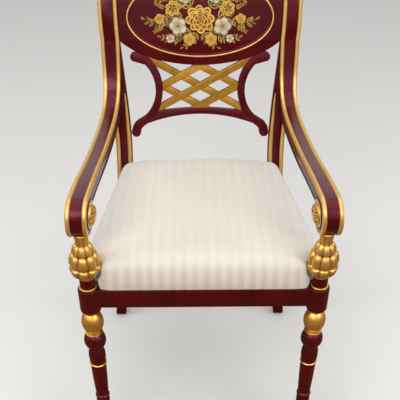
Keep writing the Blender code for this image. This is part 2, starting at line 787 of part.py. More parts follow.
def screw_shapes(head_end, tip, place):
    """Countersunk screw along Z with its head at the low end, and the hole that it leaves."""
    shapes = []
    for grow, bottom in ((0.0, head_end), (FIT, head_end - OVERRUN)):
        head, shank = SCREW_HEAD_RADIUS + grow, SCREW_RADIUS + grow
        profile = [(0, tip + grow), (shank, tip + grow), (shank, head_end + SCREW_HEAD_HEIGHT + grow)]
        profile += [(head, head_end + grow), (head, bottom), (0, bottom)]
        shapes.append(shift(spun(profile, SCREW_SEGMENTS), place))
    return shapes


def add_screw(name, shapes, held, parent):
    """Places a screw and cuts its hole in the pieces that it holds together."""
    add_piece(name, shapes[0], "steel", parent, math.radians(40))
    hole = add_cutter(f"{name}_hole", shapes[1], parent)
    for piece in held:
        combine(piece, hole, "DIFFERENCE")


def build_corner_blocks(seat_board, root):
    low = RAIL_TOP_Z - BLOCK_HEIGHT
    for name, (corner, one_way, other_way) in rail_corners(FIT).items():
        outline = [
            corner + BLOCK_NEAR * one_way,
            corner + BLOCK_FAR * one_way,
            corner + BLOCK_FAR * other_way,
            corner + BLOCK_NEAR * other_way,
        ]
        block = add_piece(f"{name}_block", plan_prism(outline, low, RAIL_TOP_Z), "beech", root)
        middle = sum(outline, Vector((0, 0))) / len(outline)
        shapes = screw_shapes(low, SEAT_REST_Z + SCREW_BITE, (middle.x, middle.y, 0))
        add_screw(f"{name}_seat_screw", shapes, (block, seat_board), root)


def seat_outline(inset):
    """Plan of the seat, drawn in by an inset: a round-cornered trapezoid notched round the front posts."""
    back, front = SEAT_BACK_Y - inset, SEAT_FRONT_Y + inset
    radius = max(SEAT_CORNER_RADIUS - inset, SEAT_LEAST_CORNER)
    along = Vector((SEAT_BACK_HALF_WIDTH - SEAT_FRONT_HALF_WIDTH, SEAT_BACK_Y)).normalized()
    outward = Vector((along.y, -along.x))
    side_start = Vector((SEAT_FRONT_HALF_WIDTH, 0)) - inset * outward
    corner_y = back - radius
    corner = Vector((side_start.x + ((corner_y - side_start.y) * along.x - radius) / along.y, corner_y))
    notch_radius = CARVED_TIERS[0][1] + SEAT_POST_GAP + inset
    post = Vector((post_x(RAIL_TOP_Z + SEAT_HEIGHT / 2), 0))
    half = [(corner.x * i / 5, back) for i in range(5)]
    final_angle = math.atan2(-along.x, along.y)
    for i in range(6):
        angle = lerp(math.pi / 2, final_angle, i / 5)
        half.append((corner.x + radius * math.cos(angle), corner.y + radius * math.sin(angle)))
    reach = (side_start - post).dot(outward)
    notch_start = post + reach * outward + math.sqrt(notch_radius**2 - reach**2) * along
    last = Vector(half[-1])
    half += [tuple(last.lerp(notch_start, i / 6)) for i in range(1, 6)]
    notch_end_angle = math.pi + math.asin(-front / notch_radius)
    to_start = notch_start - post
    start_angle = math.atan2(to_start.y, to_start.x)
    for i in range(7):
        angle = lerp(start_angle, notch_end_angle, i / 6)
        half.append((post.x + notch_radius * math.cos(angle), notch_radius * math.sin(angle)))
    end_x = half[-1][0]
    half += [(end_x * (1 - i / 5), front) for i in range(1, 6)]
    return half + [(-x, y) for x, y in half[-2:0:-1]]


def cushion_rings(inset, base_height):
    """Rings of the crowned seat: drawn-in foot, swelling side, rounded shoulder and low dome."""
    contour = (
        (SEAT_FOOT_INSET, 0.00),
        (0.0008, 0.22),
        (0.0000, 0.45),
        (0.0022, 0.70),
        (0.0080, 0.88),
        (0.0180, 0.97),
        (0.0330, 1.00),
    )
    middle = Vector((0, (SEAT_FRONT_Y + SEAT_BACK_Y) / 2))
    height = SEAT_HEIGHT - inset
    rings = []
    for drawn_in, share in contour:
        z = SEAT_REST_Z + lerp(base_height, height, share)
        rings.append([(x, y, z) for x, y in seat_outline(inset + drawn_in)])
    rim = [Vector(point[:2]) for point in rings[-1]]
    for share in (0.62, 0.28):
        z = SEAT_REST_Z + height + SEAT_CROWN * (1 - share**2)
        rings.append([(*middle.lerp(point, share), z) for point in rim])
    return rings


def build_seat(root):
    board_outline = seat_outline(SEAT_FOOT_INSET + COVER_THICKNESS + 2 * FIT)
    board_top = SEAT_REST_Z + SEAT_BOARD_THICKNESS
    board = add_piece("seat_board", plan_prism(board_outline, SEAT_REST_Z, board_top), "plywood", root)
    foam = loft(cushion_rings(COVER_THICKNESS + FOAM_GAP, SEAT_BOARD_THICKNESS + FIT))
    add_piece("seat_foam", foam, "foam", root, math.radians(60))
    cover = loft(cushion_rings(0.0, 0.0))
    cover.faces.ensure_lookup_table()
    underside = min(cover.faces, key=lambda face: face.calc_center_median().z)
    bmesh.ops.delete(cover, geom=[underside], context="FACES_ONLY")
    seat_cover = add_piece("seat_cover", cover, "striped_satin", root, math.radians(60))
    wall = seat_cover.modifiers.new("wall", "SOLIDIFY")
    wall.thickness = COVER_THICKNESS
    wall.offset = -1
    wall.use_even_offset = True
    build_dust_cover(root)
    return board


def build_dust_cover(root):
    """Thin cloth under the seat board, inside the rails and the corner blocks."""
    outline = []
    corners = rail_corners(DUST_COVER_GAP)
    reach = BLOCK_FAR + DUST_COVER_GAP
    for name in ("front_left", "front_right", "rear_right", "rear_left"):
        corner, one_way, other_way = corners[name]
        pair = [corner + reach * one_way, corner + reach * other_way]
        outline += pair if name in ("front_right", "rear_left") else pair[::-1]
    shape = plan_prism(outline, RAIL_TOP_Z - DUST_COVER_THICKNESS, RAIL_TOP_Z)
    add_piece("dust_cover", shape, "dust_cloth", root)


def crest_half_width():
    """Half width of the full oval, of which the stiles cut off the ends at their own half height."""
    end_share = CREST_END_HALF_HEIGHT / CREST_HALF_HEIGHT
    return stile_inner_x(CREST_RISE) / math.sqrt(1 - end_share**2)


def crest_edge(x, grow=0.0):
    """Rise of the crest tablet's lower edge at X. Growing the oval lowers it."""
    share = x / (crest_half_width() + grow)
    return CREST_RISE - (CREST_HALF_HEIGHT + grow) * math.sqrt(max(0.0, 1 - share * share))


def crest_outline():
    """The oval between the stiles: its lower and upper arcs, joined by edges that follow the stiles."""
    def end_gap(rise):
        return stile_inner_x(rise) - FIT

    low = CREST_RISE - CREST_HALF_HEIGHT
    for _ in range(20):
        low = crest_edge(end_gap(low))
    high = CREST_RISE
    for _ in range(20):
        high = 2 * CREST_RISE - crest_edge(min(end_gap(high), crest_half_width()))
    arc_steps, end_steps = 18, 5
    low_x, high_x = end_gap(low), end_gap(high)
    outline = []
    for i in range(arc_steps + 1):
        x = low_x * math.sin(math.pi / 2 * (2 * i / arc_steps - 1)) / math.sin(math.pi / 2)
        outline.append((x, crest_edge(x)))
    for i in range(1, end_steps):
        rise = lerp(low, high, i / end_steps)
        outline.append((end_gap(rise), rise))
    for i in range(arc_steps + 1):
        x = high_x * math.sin(math.pi / 2 * (1 - 2 * i / arc_steps))
        outline.append((x, 2 * CREST_RISE - crest_edge(x)))
    for i in range(1, end_steps):
        rise = lerp(high, low, i / end_steps)
        outline.append((-end_gap(rise), rise))
    return outline


def crest_tenon(side, grow):
    rise = CREST_RISE
    half = CREST_TENON_HALF_HEIGHT + grow
    mouth = stile_inner_x(rise)
    ends = sorted((side * (mouth - TENON_ROOT), side * (mouth + CREST_TENON_DEPTH + grow)))
    middle = -CREST_SETBACK - CREST_THICKNESS / 2
    reach = TENON_THICKNESS / 2 + grow
    return box((ends[0], rise - half, middle - reach), (ends[1], rise + half, middle + reach))


def build_crest(legs, plane):
    crest = add_piece(
        "crest_tablet", back_prism(crest_outline(), -CREST_SETBACK, CREST_THICKNESS), "maroon_lacquer", plane
    )
    for name, side in SIDES.items():
        combine(crest, add_cutter(f"{name}_crest_tenon", crest_tenon(side, 0.0), plane), "UNION")
        combine(legs[name], add_cutter(f"{name}_crest_mortise", crest_tenon(side, FIT), plane), "DIFFERENCE")
    return crest


def waist_rise():
    """Rise of the waist's centre, at which its arc carries the uprights' inner edges past the crest's edge."""
    reach = WAIST_RADIUS + UPRIGHT_HALF_WIDTH
    meeting_x = WAIST_CENTRE_X - reach * math.cos(WAIST_TOP_ANGLE)
    return crest_edge(meeting_x) + OVERRUN - reach * math.sin(WAIST_TOP_ANGLE)


def upright_line():
    """Centre line of the right upright, from under the crest through the waist to its scroll foot."""
    line = []
    arc_steps = 14
    centre = Vector((WAIST_CENTRE_X, waist_rise()))
    for i in range(arc_steps + 1):
        angle = lerp(WAIST_TOP_ANGLE, WAIST_BOTTOM_ANGLE, i / arc_steps)
        line.append(centre + WAIST_RADIUS * Vector((-math.cos(angle), math.sin(angle))))
    heading = Vector((-math.sin(WAIST_BOTTOM_ANGLE), -math.cos(WAIST_BOTTOM_ANGLE)))
    foot = Vector((SCROLL_FOOT_X, SCROLL_FOOT_RISE))
    up = Vector((0, SCROLL_FOOT_PULL))
    return line + bezier((line[-1], line[-1] + SCROLL_FOOT_PULL * heading, foot + up, foot), 6)[1:]


def upright_edges():
    """Inner and outer edge of the right upright, from the top down, widening into the scroll foot."""
    line = upright_line()
    inner, outer = [], []
    for i, here in enumerate(line):
        before, after = line[max(i - 1, 0)], line[min(i + 1, len(line) - 1)]
        along = (after - before).normalized()
        share = smoothstep((i / (len(line) - 1) - 0.7) / 0.3)
        half = lerp(UPRIGHT_HALF_WIDTH, SCROLL_FOOT_RADIUS, share)
        inward = Vector((along.y, -along.x))
        inner.append(here + half * inward)
        outer.append(here - half * inward)
    return inner, outer


def meets_crest(points):
    """Trims a line, given from the top down, to where it leaves the crest's lower edge, with the fit."""
    for above, below in zip(points, points[1:]):
        if below.y < crest_edge(below.x, FIT):
            high, low = 0.0, 1.0
            for _ in range(30):
                middle = (high + low) / 2
                point = above.lerp(below, middle)
                if point.y < crest_edge(point.x, FIT):
                    low = middle
                else:
                    high = middle
            return [above.lerp(below, low)] + points[points.index(below):]
    return points


def upright_outline():
    """Right upright: down its inner edge, round the scroll foot, up its outer edge, round the ear, and back
    along the crest."""
    inner, outer = upright_edges()
    inner = meets_crest(inner)
    foot = Vector((SCROLL_FOOT_X, SCROLL_FOOT_RISE))
    cap = []
    for i in range(1, 8):
        angle = math.pi + math.pi * i / 8
        cap.append(foot + SCROLL_FOOT_RADIUS * Vector((math.cos(angle), math.sin(angle))))
    ear_middle = Vector((EAR_X, crest_edge(EAR_X) - EAR_DROP))
    ear_bottom = ear_middle.y - EAR_RADIUS
    outer_up = [point for point in outer[::-1] if point.y < ear_bottom - 0.5 * EAR_RADIUS]
    ear = []
    angle = -math.pi / 2
    while True:
        point = ear_middle + EAR_RADIUS * Vector((math.cos(angle), math.sin(angle)))
        if point.y > crest_edge(point.x, FIT) or angle > math.radians(110):
            break
        ear.append(point)
        angle += math.radians(20)
    along_crest = []
    start_x, end_x = ear[-1].x - 0.3 * EAR_RADIUS, inner[0].x
    for i in range(5):
        x = lerp(start_x, end_x, i / 5)
        along_crest.append(Vector((x, crest_edge(x, FIT))))
    return inner + cap + outer_up + ear + along_crest


def splat_rail_top(x):
    middle = waist_rise() - SPLAT_RAIL_DROP
    return middle - SPLAT_RAIL_TOP_ARCH + math.sqrt(SPLAT_RAIL_TOP_ARCH**2 - x * x)


def splat_rail_bottom(x):
    bottom = waist_rise() - SPLAT_RAIL_DROP - SPLAT_RAIL_HEIGHT
    return bottom - SPLAT_RAIL_BOTTOM_ARCH + math.sqrt(SPLAT_RAIL_BOTTOM_ARCH**2 - x * x)


def inner_edge_between(low_line, high_line, gap):
    """Points of the right upright's inner edge, moved in by a gap, between two lines across the splat."""
    inner, _ = upright_edges()
    moved = []
    for i, here in enumerate(inner):
        before, after = inner[max(i - 1, 0)], inner[min(i + 1, len(inner) - 1)]
        along = (after - before).normalized()
        moved.append(here + gap * Vector((along.y, -along.x)))

    def crossing(line):
        for above, below in zip(moved, moved[1:]):
            if above.y >= line(above.x) and below.y < line(below.x):
                over = above.y - line(above.x)
                under = line(below.x) - below.y
                return above.lerp(below, over / (over + under))
        return moved[-1]

    top, bottom = crossing(high_line), crossing(low_line)
    between = [point for point in moved if bottom.y < point.y < top.y]
    return [top] + between + [bottom]


def splat_rail_outline():
    edge = inner_edge_between(splat_rail_bottom, splat_rail_top, FIT)
    top_x, bottom_x = edge[0].x, edge[-1].x
    steps = 14
    outline = []
    for i in range(steps + 1):
        x = lerp(-top_x, top_x, i / steps)
        outline.append((x, splat_rail_top(x)))
    outline += [tuple(point) for point in edge[1:-1]]
    for i in range(steps + 1):
        x = lerp(bottom_x, -bottom_x, i / steps)
        outline.append((x, splat_rail_bottom(x)))
    outline += [(-point.x, point.y) for point in edge[-2:0:-1]]
    return outline


def lattice_field():
    """Space for the lattice: inside the uprights, above the splat rail and under the crest."""
    edge = inner_edge_between(lambda x: splat_rail_top(x) + FIT, lambda x: crest_edge(x, FIT), FIT)
    top_x, bottom_x = edge[0].x, edge[-1].x
    steps = 12
    outline = []
    for i in range(steps + 1):
        x = lerp(-top_x, top_x, i / steps)
        outline.append((x, crest_edge(x, FIT)))
    outline += [tuple(point) for point in edge[1:-1]]
    for i in range(steps + 1):
        x = lerp(bottom_x, -bottom_x, i / steps)
        outline.append((x, splat_rail_top(x) + FIT))
    return outline + [(-point.x, point.y) for point in edge[-2:0:-1]]


def bar_outline(direction, step, grow):
    """One lattice bar in the back plane, longer than the field. The step counts bars from the middle one."""
    along = Vector((LATTICE_HALF_PITCH_X, direction * LATTICE_HALF_PITCH_RISE)).normalized()
    across = Vector((-along.y, along.x))
    middle = Vector((0, waist_rise() + LATTICE_LIFT + 2 * step * LATTICE_HALF_PITCH_RISE))
    reach = 2 * WAIST_CENTRE_X
    half = LATTICE_BAR_WIDTH / 2 + grow
    return [
        middle + reach * along + half * across,
        middle - reach * along + half * across,
        middle - reach * along - half * across,
        middle + reach * along - half * across,
    ]


def build_lattice(plane):
    """Bars flush with each other: each rising bar is lapped over the falling ones."""
    front = -LATTICE_SETBACK
    half_lap = LATTICE_BAR_THICKNESS / 2
    deep = LATTICE_BAR_THICKNESS + 2 * OVERRUN
    field = add_cutter("lattice_field", back_prism(lattice_field(), front + OVERRUN, deep), plane)
    families = {"rising": 1, "falling": -1}
    places = {"lower": -1, "middle": 0, "upper": 1}
    laps = {}
    for family, direction in families.items():
        lap_front = front + OVERRUN if family == "rising" else front - half_lap + FIT / 2
        for place, step in places.items():
            depth = half_lap + OVERRUN + FIT / 2
            shape = back_prism(bar_outline(direction, step, FIT), lap_front, depth)
            laps[family, place] = add_cutter(f"{family}_{place}_lap", shape, plane)
    for family, direction in families.items():
        other = "falling" if family == "rising" else "rising"
        for place, step in places.items():
            shape = back_prism(bar_outline(direction, step, 0.0), front, LATTICE_BAR_THICKNESS)
            bar = add_piece(f"lattice_{family}_bar_{place}", shape, "gilding", plane)
            combine(bar, field, "INTERSECT")
            for crossing in places:
                combine(bar, laps[other, crossing], "DIFFERENCE")


def dowel_shapes(start, along):
    """A dowel in the back plane, and its hole."""
    shapes = []
    turn = Vector((along[0], along[1], 0)).to_track_quat("Z", "Y").to_matrix()
    for grow in (0.0, FIT):
        radius, length = SPLAT_DOWEL_RADIUS + grow, SPLAT_DOWEL_LENGTH + grow
        shape = spun([(0, length), (radius, length), (radius, -grow), (0, -grow)], SCREW_SEGMENTS)
        bmesh.ops.rotate(shape, verts=shape.verts, cent=(0, 0, 0), matrix=turn)
        shapes.append(shift(shape, start))
    return shapes


def build_splat(legs, crest, plane):
    depth = -SPLAT_SETBACK - SPLAT_THICKNESS / 2
    for name, side in SIDES.items():
        outline = [(side * point.x, point.y) for point in upright_outline()]
        upright = add_piece(
            f"{name}_splat_upright", back_prism(outline, -SPLAT_SETBACK, SPLAT_THICKNESS), "maroon_lacquer", plane
        )
        foot_start = (side * (SCROLL_FOOT_X - 0.2 * SPLAT_DOWEL_LENGTH), SCROLL_FOOT_RISE, depth)
        ear_x = lerp(upright_outline()[0].x, EAR_X, 0.5)
        ear_start = (side * ear_x, crest_edge(ear_x) - SPLAT_DOWEL_LENGTH / 2, depth)
        joints = (("foot", foot_start, (side, 0), legs[name]), ("ear", ear_start, (0, 1), crest))
        for place, start, along, mate in joints:
            dowel, hole = dowel_shapes(start, along)
            add_piece(f"{name}_{place}_dowel", dowel, "beech", plane, math.radians(40))
            cutter = add_cutter(f"{name}_{place}_dowel_hole", hole, plane)
            combine(upright, cutter, "DIFFERENCE")
            combine(mate, cutter, "DIFFERENCE")
    shape = back_prism(splat_rail_outline(), -SPLAT_SETBACK, SPLAT_THICKNESS)
    add_piece("splat_lower_rail", shape, "maroon_lacquer", plane)


def build_arm_screws(legs, plane):
    """Screws square to the back plane, through the stiles into the thick part of the arms."""
    tip = ARM_SCREW_BITE - ARM_SEAT_DEPTH
    for name, side in SIDES.items():
        arm = bpy.data.objects[f"{name}_arm"]
        shapes = screw_shapes(-STILE_DEPTH, tip, (side * ARM_SCREW_X, ARM_SCREW_RISE, 0))
        add_screw(f"{name}_arm_screw", shapes, (legs[name], arm), plane)


def centre_footprint(root):
    """Moves the chair so that its box is centred on the origin, front to back."""
    bpy.context.view_layer.update()
    graph = bpy.context.evaluated_depsgraph_get()
    depths = []
    for piece in bpy.data.objects:
        if piece.type == "MESH" and not piece.hide_render:
            solid = piece.evaluated_get(graph)
            depths += [(solid.matrix_world @ vertex.co).y for vertex in solid.data.vertices]
    root.location.y = -(min(depths) + max(depths)) / 2


def build_chair():
    clear_scene()
    for name, values in FINISHES.items():
        make_finish(name, *values)
    root = make_empty("chair_origin")
    plane = make_empty("back_plane", root)
    plane.location = (0, BACK_Y, RAIL_TOP_Z)
    plane.rotation_euler = (math.pi / 2 - RECLINE, 0, 0)
    legs = {}
    for name in SIDES:
        build_front_leg(name, root)
        build_arm_support(name, root)
        build_arm(name, root)
        legs[name] = build_rear_leg(name, root)
    build_rails(root)
    crest = build_crest(legs, plane)
    build_splat(legs, crest, plane)
    build_lattice(plane)
    build_arm_screws(legs, plane)
    board = build_seat(root)
    build_corner_blocks(board, root)
    centre_footprint(root)


build_chair()
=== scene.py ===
"""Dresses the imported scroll-arm chair: lacquer, gilding, carving, a painted tablet and a striped satin seat.

Metres throughout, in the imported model's frame: +Z is up and the front of the chair faces -Y. Depths are drawn
from the line of the front posts backwards, and moved into the frame as each piece gets its place.
"""

import logging
import math
import random
from collections.abc import Callable, Iterator, Sequence
from contextlib import contextmanager
from dataclasses import dataclass
from enum import Enum

import bpy
from mathutils import Matrix, Vector


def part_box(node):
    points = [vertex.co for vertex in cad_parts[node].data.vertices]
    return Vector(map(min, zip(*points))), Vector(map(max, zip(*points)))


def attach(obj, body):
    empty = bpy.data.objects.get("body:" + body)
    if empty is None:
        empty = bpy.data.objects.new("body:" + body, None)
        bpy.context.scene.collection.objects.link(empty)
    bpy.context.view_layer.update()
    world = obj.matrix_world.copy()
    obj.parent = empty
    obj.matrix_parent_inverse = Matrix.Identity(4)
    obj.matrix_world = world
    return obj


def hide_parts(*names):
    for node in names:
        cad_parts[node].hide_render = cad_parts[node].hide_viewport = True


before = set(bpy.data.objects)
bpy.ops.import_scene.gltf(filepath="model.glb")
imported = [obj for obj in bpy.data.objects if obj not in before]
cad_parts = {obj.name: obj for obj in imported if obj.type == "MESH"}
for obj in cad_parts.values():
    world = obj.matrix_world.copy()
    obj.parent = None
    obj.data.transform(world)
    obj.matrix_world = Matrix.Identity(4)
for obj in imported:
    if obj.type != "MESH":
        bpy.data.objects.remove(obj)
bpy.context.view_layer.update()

Triple = tuple[float, float, float]
Colour = Triple
Profile = list[tuple[float, float]]
Socket = bpy.types.NodeSocket
Piece = bpy.types.Object
Finish = bpy.types.Material

# Edges sharper than this stay sharp in the shading, in degrees.
SAWN_EDGE = 30.0
ROUNDED_EDGE = 34.0
ALL_SMOOTH = 180.0

log = logging.getLogger("chair")


class Side(Enum):
    """Left or right half of the chair, as seen from the front."""

    LEFT = -1
    RIGHT = 1

    @property
    def word(self) -> str:
        """The side's word in piece names."""
        return self.name.lower()


class Slot(Enum):
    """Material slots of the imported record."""

    MAROON = "maroon"
    GILT = "gilt"
    SATIN = "satin"
    PLYWOOD = "plywood"
    BEECH = "beech"
    DUST_CLOTH = "dust_cloth"


def lerp(start: float, end: float, share: float) -> float:
    """Value part of the way between two others."""
    return start + (end - start) * share


def ease(share: float) -> float:
    """Smooth step from 0 to 1, held outside that range."""
    share = min(max(share, 0.0), 1.0)
    return share * share * (3 - 2 * share)


def bezier(points: Sequence[Vector], steps: int) -> list[Vector]:
    """Points along a cubic curve.

    Args:
        points: Its four control points.
        steps: How many equal steps are taken along it.

    Returns:
        The points, with both ends.
    """
    first, second, third, last = points
    curve = []
    for i in range(steps + 1):
        t = i / steps
        u = 1 - t
        curve.append(u**3 * first + 3 * u * u * t * second + 3 * u * t * t * third + t**3 * last)
    return curve


class Nodes:
    """A node tree in the making."""

    def __init__(self, tree: bpy.types.NodeTree) -> None:
        """Takes up a tree."""
        self.tree = tree

    def add(self, kind: str, **settings: object) -> bpy.types.Node:
        """Adds a node.

        Args:
            kind: Its type.
            settings: Attributes to set on it.

        Returns:
            The node.
        """
        node = self.tree.nodes.new(kind)
        for key, value in settings.items():
            setattr(node, key, value)
        return node

    def feed(self, socket: Socket, value: object) -> None:
        """Links a socket where the value is one, and sets its number or colour otherwise.

        Args:
            socket: The socket to feed.
            value: Another socket, a number or a colour.
        """
        if isinstance(value, bpy.types.NodeSocket):
            self.tree.links.new(value, socket)
        elif isinstance(value, tuple) and len(value) == 3 and socket.type == "RGBA":
            socket.default_value = (*value, 1.0)
        else:
            socket.default_value = value

    def calc(self, operation: str, first: object, second: object = 0.0) -> Socket:
        """Works out one number from two.

        Args:
            operation: What is done with them.
            first: First number, or its socket.
            second: Second number, or its socket.

        Returns:
            The result's socket.
        """
        node = self.add("ShaderNodeMath", operation=operation)
        self.feed(node.inputs[0], first)
        self.feed(node.inputs[1], second)
        return node.outputs[0]

    def band(
        self, value: Socket, low: float, high: float, start: float = 0.0, end: float = 1.0,
        step: str = "SMOOTHSTEP",
    ) -> Socket:
        """Step of a value.

        Args:
            value: What is read.
            low: Where the step starts.
            high: Where it ends.
            start: Result below the step.
            end: Result above it.
            step: How it runs from one to the other.

        Returns:
            The result's socket.
        """
        node = self.add("ShaderNodeMapRange", interpolation_type=step)
        for key, number in (("From Min", low), ("From Max", high), ("To Min", start), ("To Max", end)):
            node.inputs[key].default_value = number
        self.feed(node.inputs["Value"], value)
        return node.outputs["Result"]


class Recipe(Nodes):
    """A node material in the making: one Principled shader, and the textures that feed it."""

    def __init__(self, name: str) -> None:
        """Starts an empty material.

        Args:
            name: The material's name.
        """
        self.material = bpy.data.materials.new(name)
        self.material.use_nodes = True
        super().__init__(self.material.node_tree)
        self.tree.nodes.clear()
        output = self.add("ShaderNodeOutputMaterial")
        self.shader = self.add("ShaderNodeBsdfPrincipled")
        self.tree.links.new(self.shader.outputs["BSDF"], output.inputs["Surface"])
        self.place = self.add("ShaderNodeTexCoord").outputs["Object"]

    def shade(self, **values: object) -> None:
        """Feeds the shader's sockets, whose names are written with underscores for spaces."""
        for key, value in values.items():
            self.feed(self.shader.inputs[key.replace("_", " ")], value)

    def stretched(self, scale: Triple) -> Socket:
        """Object coordinates, stretched.

        Args:
            scale: Factor along each axis.

        Returns:
            The coordinates' socket.
        """
        node = self.add("ShaderNodeMapping")
        node.inputs["Scale"].default_value = scale
        self.feed(node.inputs["Vector"], self.place)
        return node.outputs["Vector"]

    def noise(self, scale: float, detail: float = 4.0, place: Socket | None = None) -> Socket:
        """Cloudy noise from 0 to 1.

        Args:
            scale: Clouds to the metre.
            detail: Finer octaves in it.
            place: Coordinates, where they aren't the plain ones.

        Returns:
            The noise's socket.
        """
        node = self.add("ShaderNodeTexNoise")
        self.feed(node.inputs["Vector"], place or self.place)
        node.inputs["Scale"].default_value = scale
        node.inputs["Detail"].default_value = detail
        return node.outputs["Fac"]

    def cracks(self, scale: float) -> Socket:
        """Distance to the nearest wall of a net of cells.

        Args:
            scale: Cells to the metre.

        Returns:
            The distance's socket.
        """
        node = self.add("ShaderNodeTexVoronoi", feature="DISTANCE_TO_EDGE")
        self.feed(node.inputs["Vector"], self.place)
        node.inputs["Scale"].default_value = scale
        return node.outputs["Distance"]

    def blend(self, share: object, first: object, second: object) -> Socket:
        """Mixes two colours.

        Args:
            share: How much of the second.
            first: First colour, or its socket.
            second: Second colour, or its socket.

        Returns:
            The mixed colour's socket.
        """
        node = self.add("ShaderNodeMix", data_type="RGBA")
        self.feed(node.inputs[0], share)
        self.feed(node.inputs[6], first)
        self.feed(node.inputs[7], second)
        return node.outputs[2]

    def bump(self, height: Socket, strength: float, depth: float, under: Socket | None = None) -> Socket:
        """Bumps the surface.

        Args:
            height: The relief.
            strength: How much of it shows.
            depth: Its full depth in metres.
            under: An earlier bump that this one goes on.

        Returns:
            The normal's socket.
        """
        node = self.add("ShaderNodeBump")
        node.inputs["Strength"].default_value = strength
        node.inputs["Distance"].default_value = depth
        self.feed(node.inputs["Height"], height)
        if under is not None:
            self.feed(node.inputs["Normal"], under)
        return node.outputs["Normal"]

    def edges(self, radius: float) -> Socket:
        """Mask of the outer and inner edges, where a rounded normal leaves the true one.

        Args:
            radius: How far it reaches from an edge.

        Returns:
            The mask's socket.
        """
        rounded = self.add("ShaderNodeBevel", samples=4)
        rounded.inputs["Radius"].default_value = radius
        compare = self.add("ShaderNodeVectorMath", operation="DOT_PRODUCT")
        self.feed(compare.inputs[0], rounded.outputs["Normal"])
        self.feed(compare.inputs[1], self.add("ShaderNodeNewGeometry").outputs["Normal"])
        return self.band(compare.outputs["Value"], 0.80, 0.985, 1.0, 0.0)

    def hollows(self, reach: float) -> Socket:
        """Mask of the hollows of the piece itself.

        Args:
            reach: How near a wall has to be to count.

        Returns:
            The mask's socket: 1 in a deep hollow, 0 in the open.
        """
        node = self.add("ShaderNodeAmbientOcclusion", samples=8, only_local=True)
        node.inputs["Distance"].default_value = reach
        return self.band(node.outputs["AO"], 0.25, 0.90, 1.0, 0.0)


@dataclass(frozen=True)
class Lacquer:
    """Dark red lacquer over wood, paler along its edges: partly rubbed wear, partly a painted highlight."""

    deep: Colour = (0.055, 0.0017, 0.0016)
    warm: Colour = (0.080, 0.0026, 0.0025)
    worn: Colour = (0.210, 0.048, 0.036)
    wear: float = 0.40
    coat: float = 0.07
    gloss: float = 0.56
    mirror: Colour = (1.0, 0.32, 0.48)

    def material(self, name: str) -> Finish:
        """Makes the finish.

        Args:
            name: The material's name.

        Returns:
            The material.
        """
        r = Recipe(name)
        grain = r.noise(46.0, 6.0, r.stretched((1.0, 1.0, 0.10)))
        cloud = r.noise(13.0, 5.0)
        colour = r.blend(r.band(cloud, 0.34, 0.68), self.deep, self.warm)
        colour = r.blend(r.band(grain, 0.30, 0.75, 0.0, 0.25), colour, self.deep)
        # Paler colour along the edges, inner and outer: partly wear, partly a painted highlight where edges
        # catch the light.
        edge_wear_and_highlight_mask = r.calc("MULTIPLY", r.edges(0.0016), r.band(r.noise(85.0, 6.0), 0.46, 0.66, 0.0, self.wear))
        colour = r.blend(edge_wear_and_highlight_mask, colour, self.worn)
        relief = r.bump(grain, 0.06, 0.0004)
        relief = r.bump(r.noise(480.0, 2.0), 0.04, 0.0002, relief)
        r.shade(Base_Color=colour, Roughness=r.band(cloud, 0.25, 0.75, 0.20, 0.30), Normal=relief)
        r.shade(Specular_IOR_Level=self.gloss, Specular_Tint=self.mirror)
        r.shade(Coat_Weight=self.coat, Coat_Roughness=0.08)
        return r.material


@dataclass(frozen=True)
class Gilding:
    """Gold leaf over carved wood: mottled, darker in the hollows with glaze and painted shade, and rubbed to
    red clay in places.

    Where sides is a colour, only what faces forward or back in the chair's back is gilded. The rest has that
    colour, as painted shade along the edges.
    """

    bright: Colour = (0.760, 0.455, 0.118)
    deep: Colour = (0.600, 0.330, 0.070)
    glaze: Colour = (0.085, 0.036, 0.008)
    clay: Colour = (0.330, 0.075, 0.025)
    metal: float = 0.72
    smooth: float = 0.30
    dull: float = 0.40
    hollow_reach: float = 0.0065
    glaze_share: float = 0.80
    rubbing: float = 0.30
    gloss: float = 0.5
    sides: Colour | None = None

    def material(self, name: str) -> Finish:
        """Makes the finish.

        Args:
            name: The material's name.

        Returns:
            The material.
        """
        r = Recipe(name)
        mottle = r.noise(70.0, 6.0)
        colour = r.blend(r.band(mottle, 0.33, 0.66), self.deep, self.bright)
        seams = r.band(r.cracks(55.0), 0.0, 0.03, 0.10, 0.0)
        colour = r.blend(seams, colour, self.deep)
        patches = r.band(r.noise(140.0, 5.0), 0.55, 0.72, 0.0, self.rubbing)
        rubbed = r.calc("MULTIPLY", r.edges(0.0009), patches)
        colour = r.blend(rubbed, colour, self.clay)
        # Darker towards the hollows, where the piece shades itself: antique glaze and painted shade.
        glaze = r.calc("MULTIPLY", r.hollows(self.hollow_reach), self.glaze_share)
        colour = r.blend(glaze, colour, self.glaze)
        metal: object = self.metal
        # Faces turned away from front and back take a dark colour: painted shade along the bars' edges.
        if self.sides is not None:
            facing = r.add("ShaderNodeVectorMath", operation="DOT_PRODUCT")
            r.feed(facing.inputs[0], r.add("ShaderNodeNewGeometry").outputs["True Normal"])
            facing.inputs[1].default_value = Plan().on_back(0, 0, 1) - Plan().on_back(0, 0, 0)
            gilt = r.band(r.calc("ABSOLUTE", facing.outputs["Value"]), 0.45, 0.75)
            colour = r.blend(gilt, self.sides, colour)
            metal = r.calc("MULTIPLY", gilt, self.metal)
        relief = r.bump(r.noise(210.0, 5.0), 0.05, 0.0005)
        relief = r.bump(mottle, 0.04, 0.0006, relief)
        r.shade(Roughness=r.band(mottle, 0.28, 0.72, self.dull, self.smooth), Normal=relief)
        r.shade(Base_Color=colour, Metallic=metal, Specular_IOR_Level=self.gloss)
        return r.material


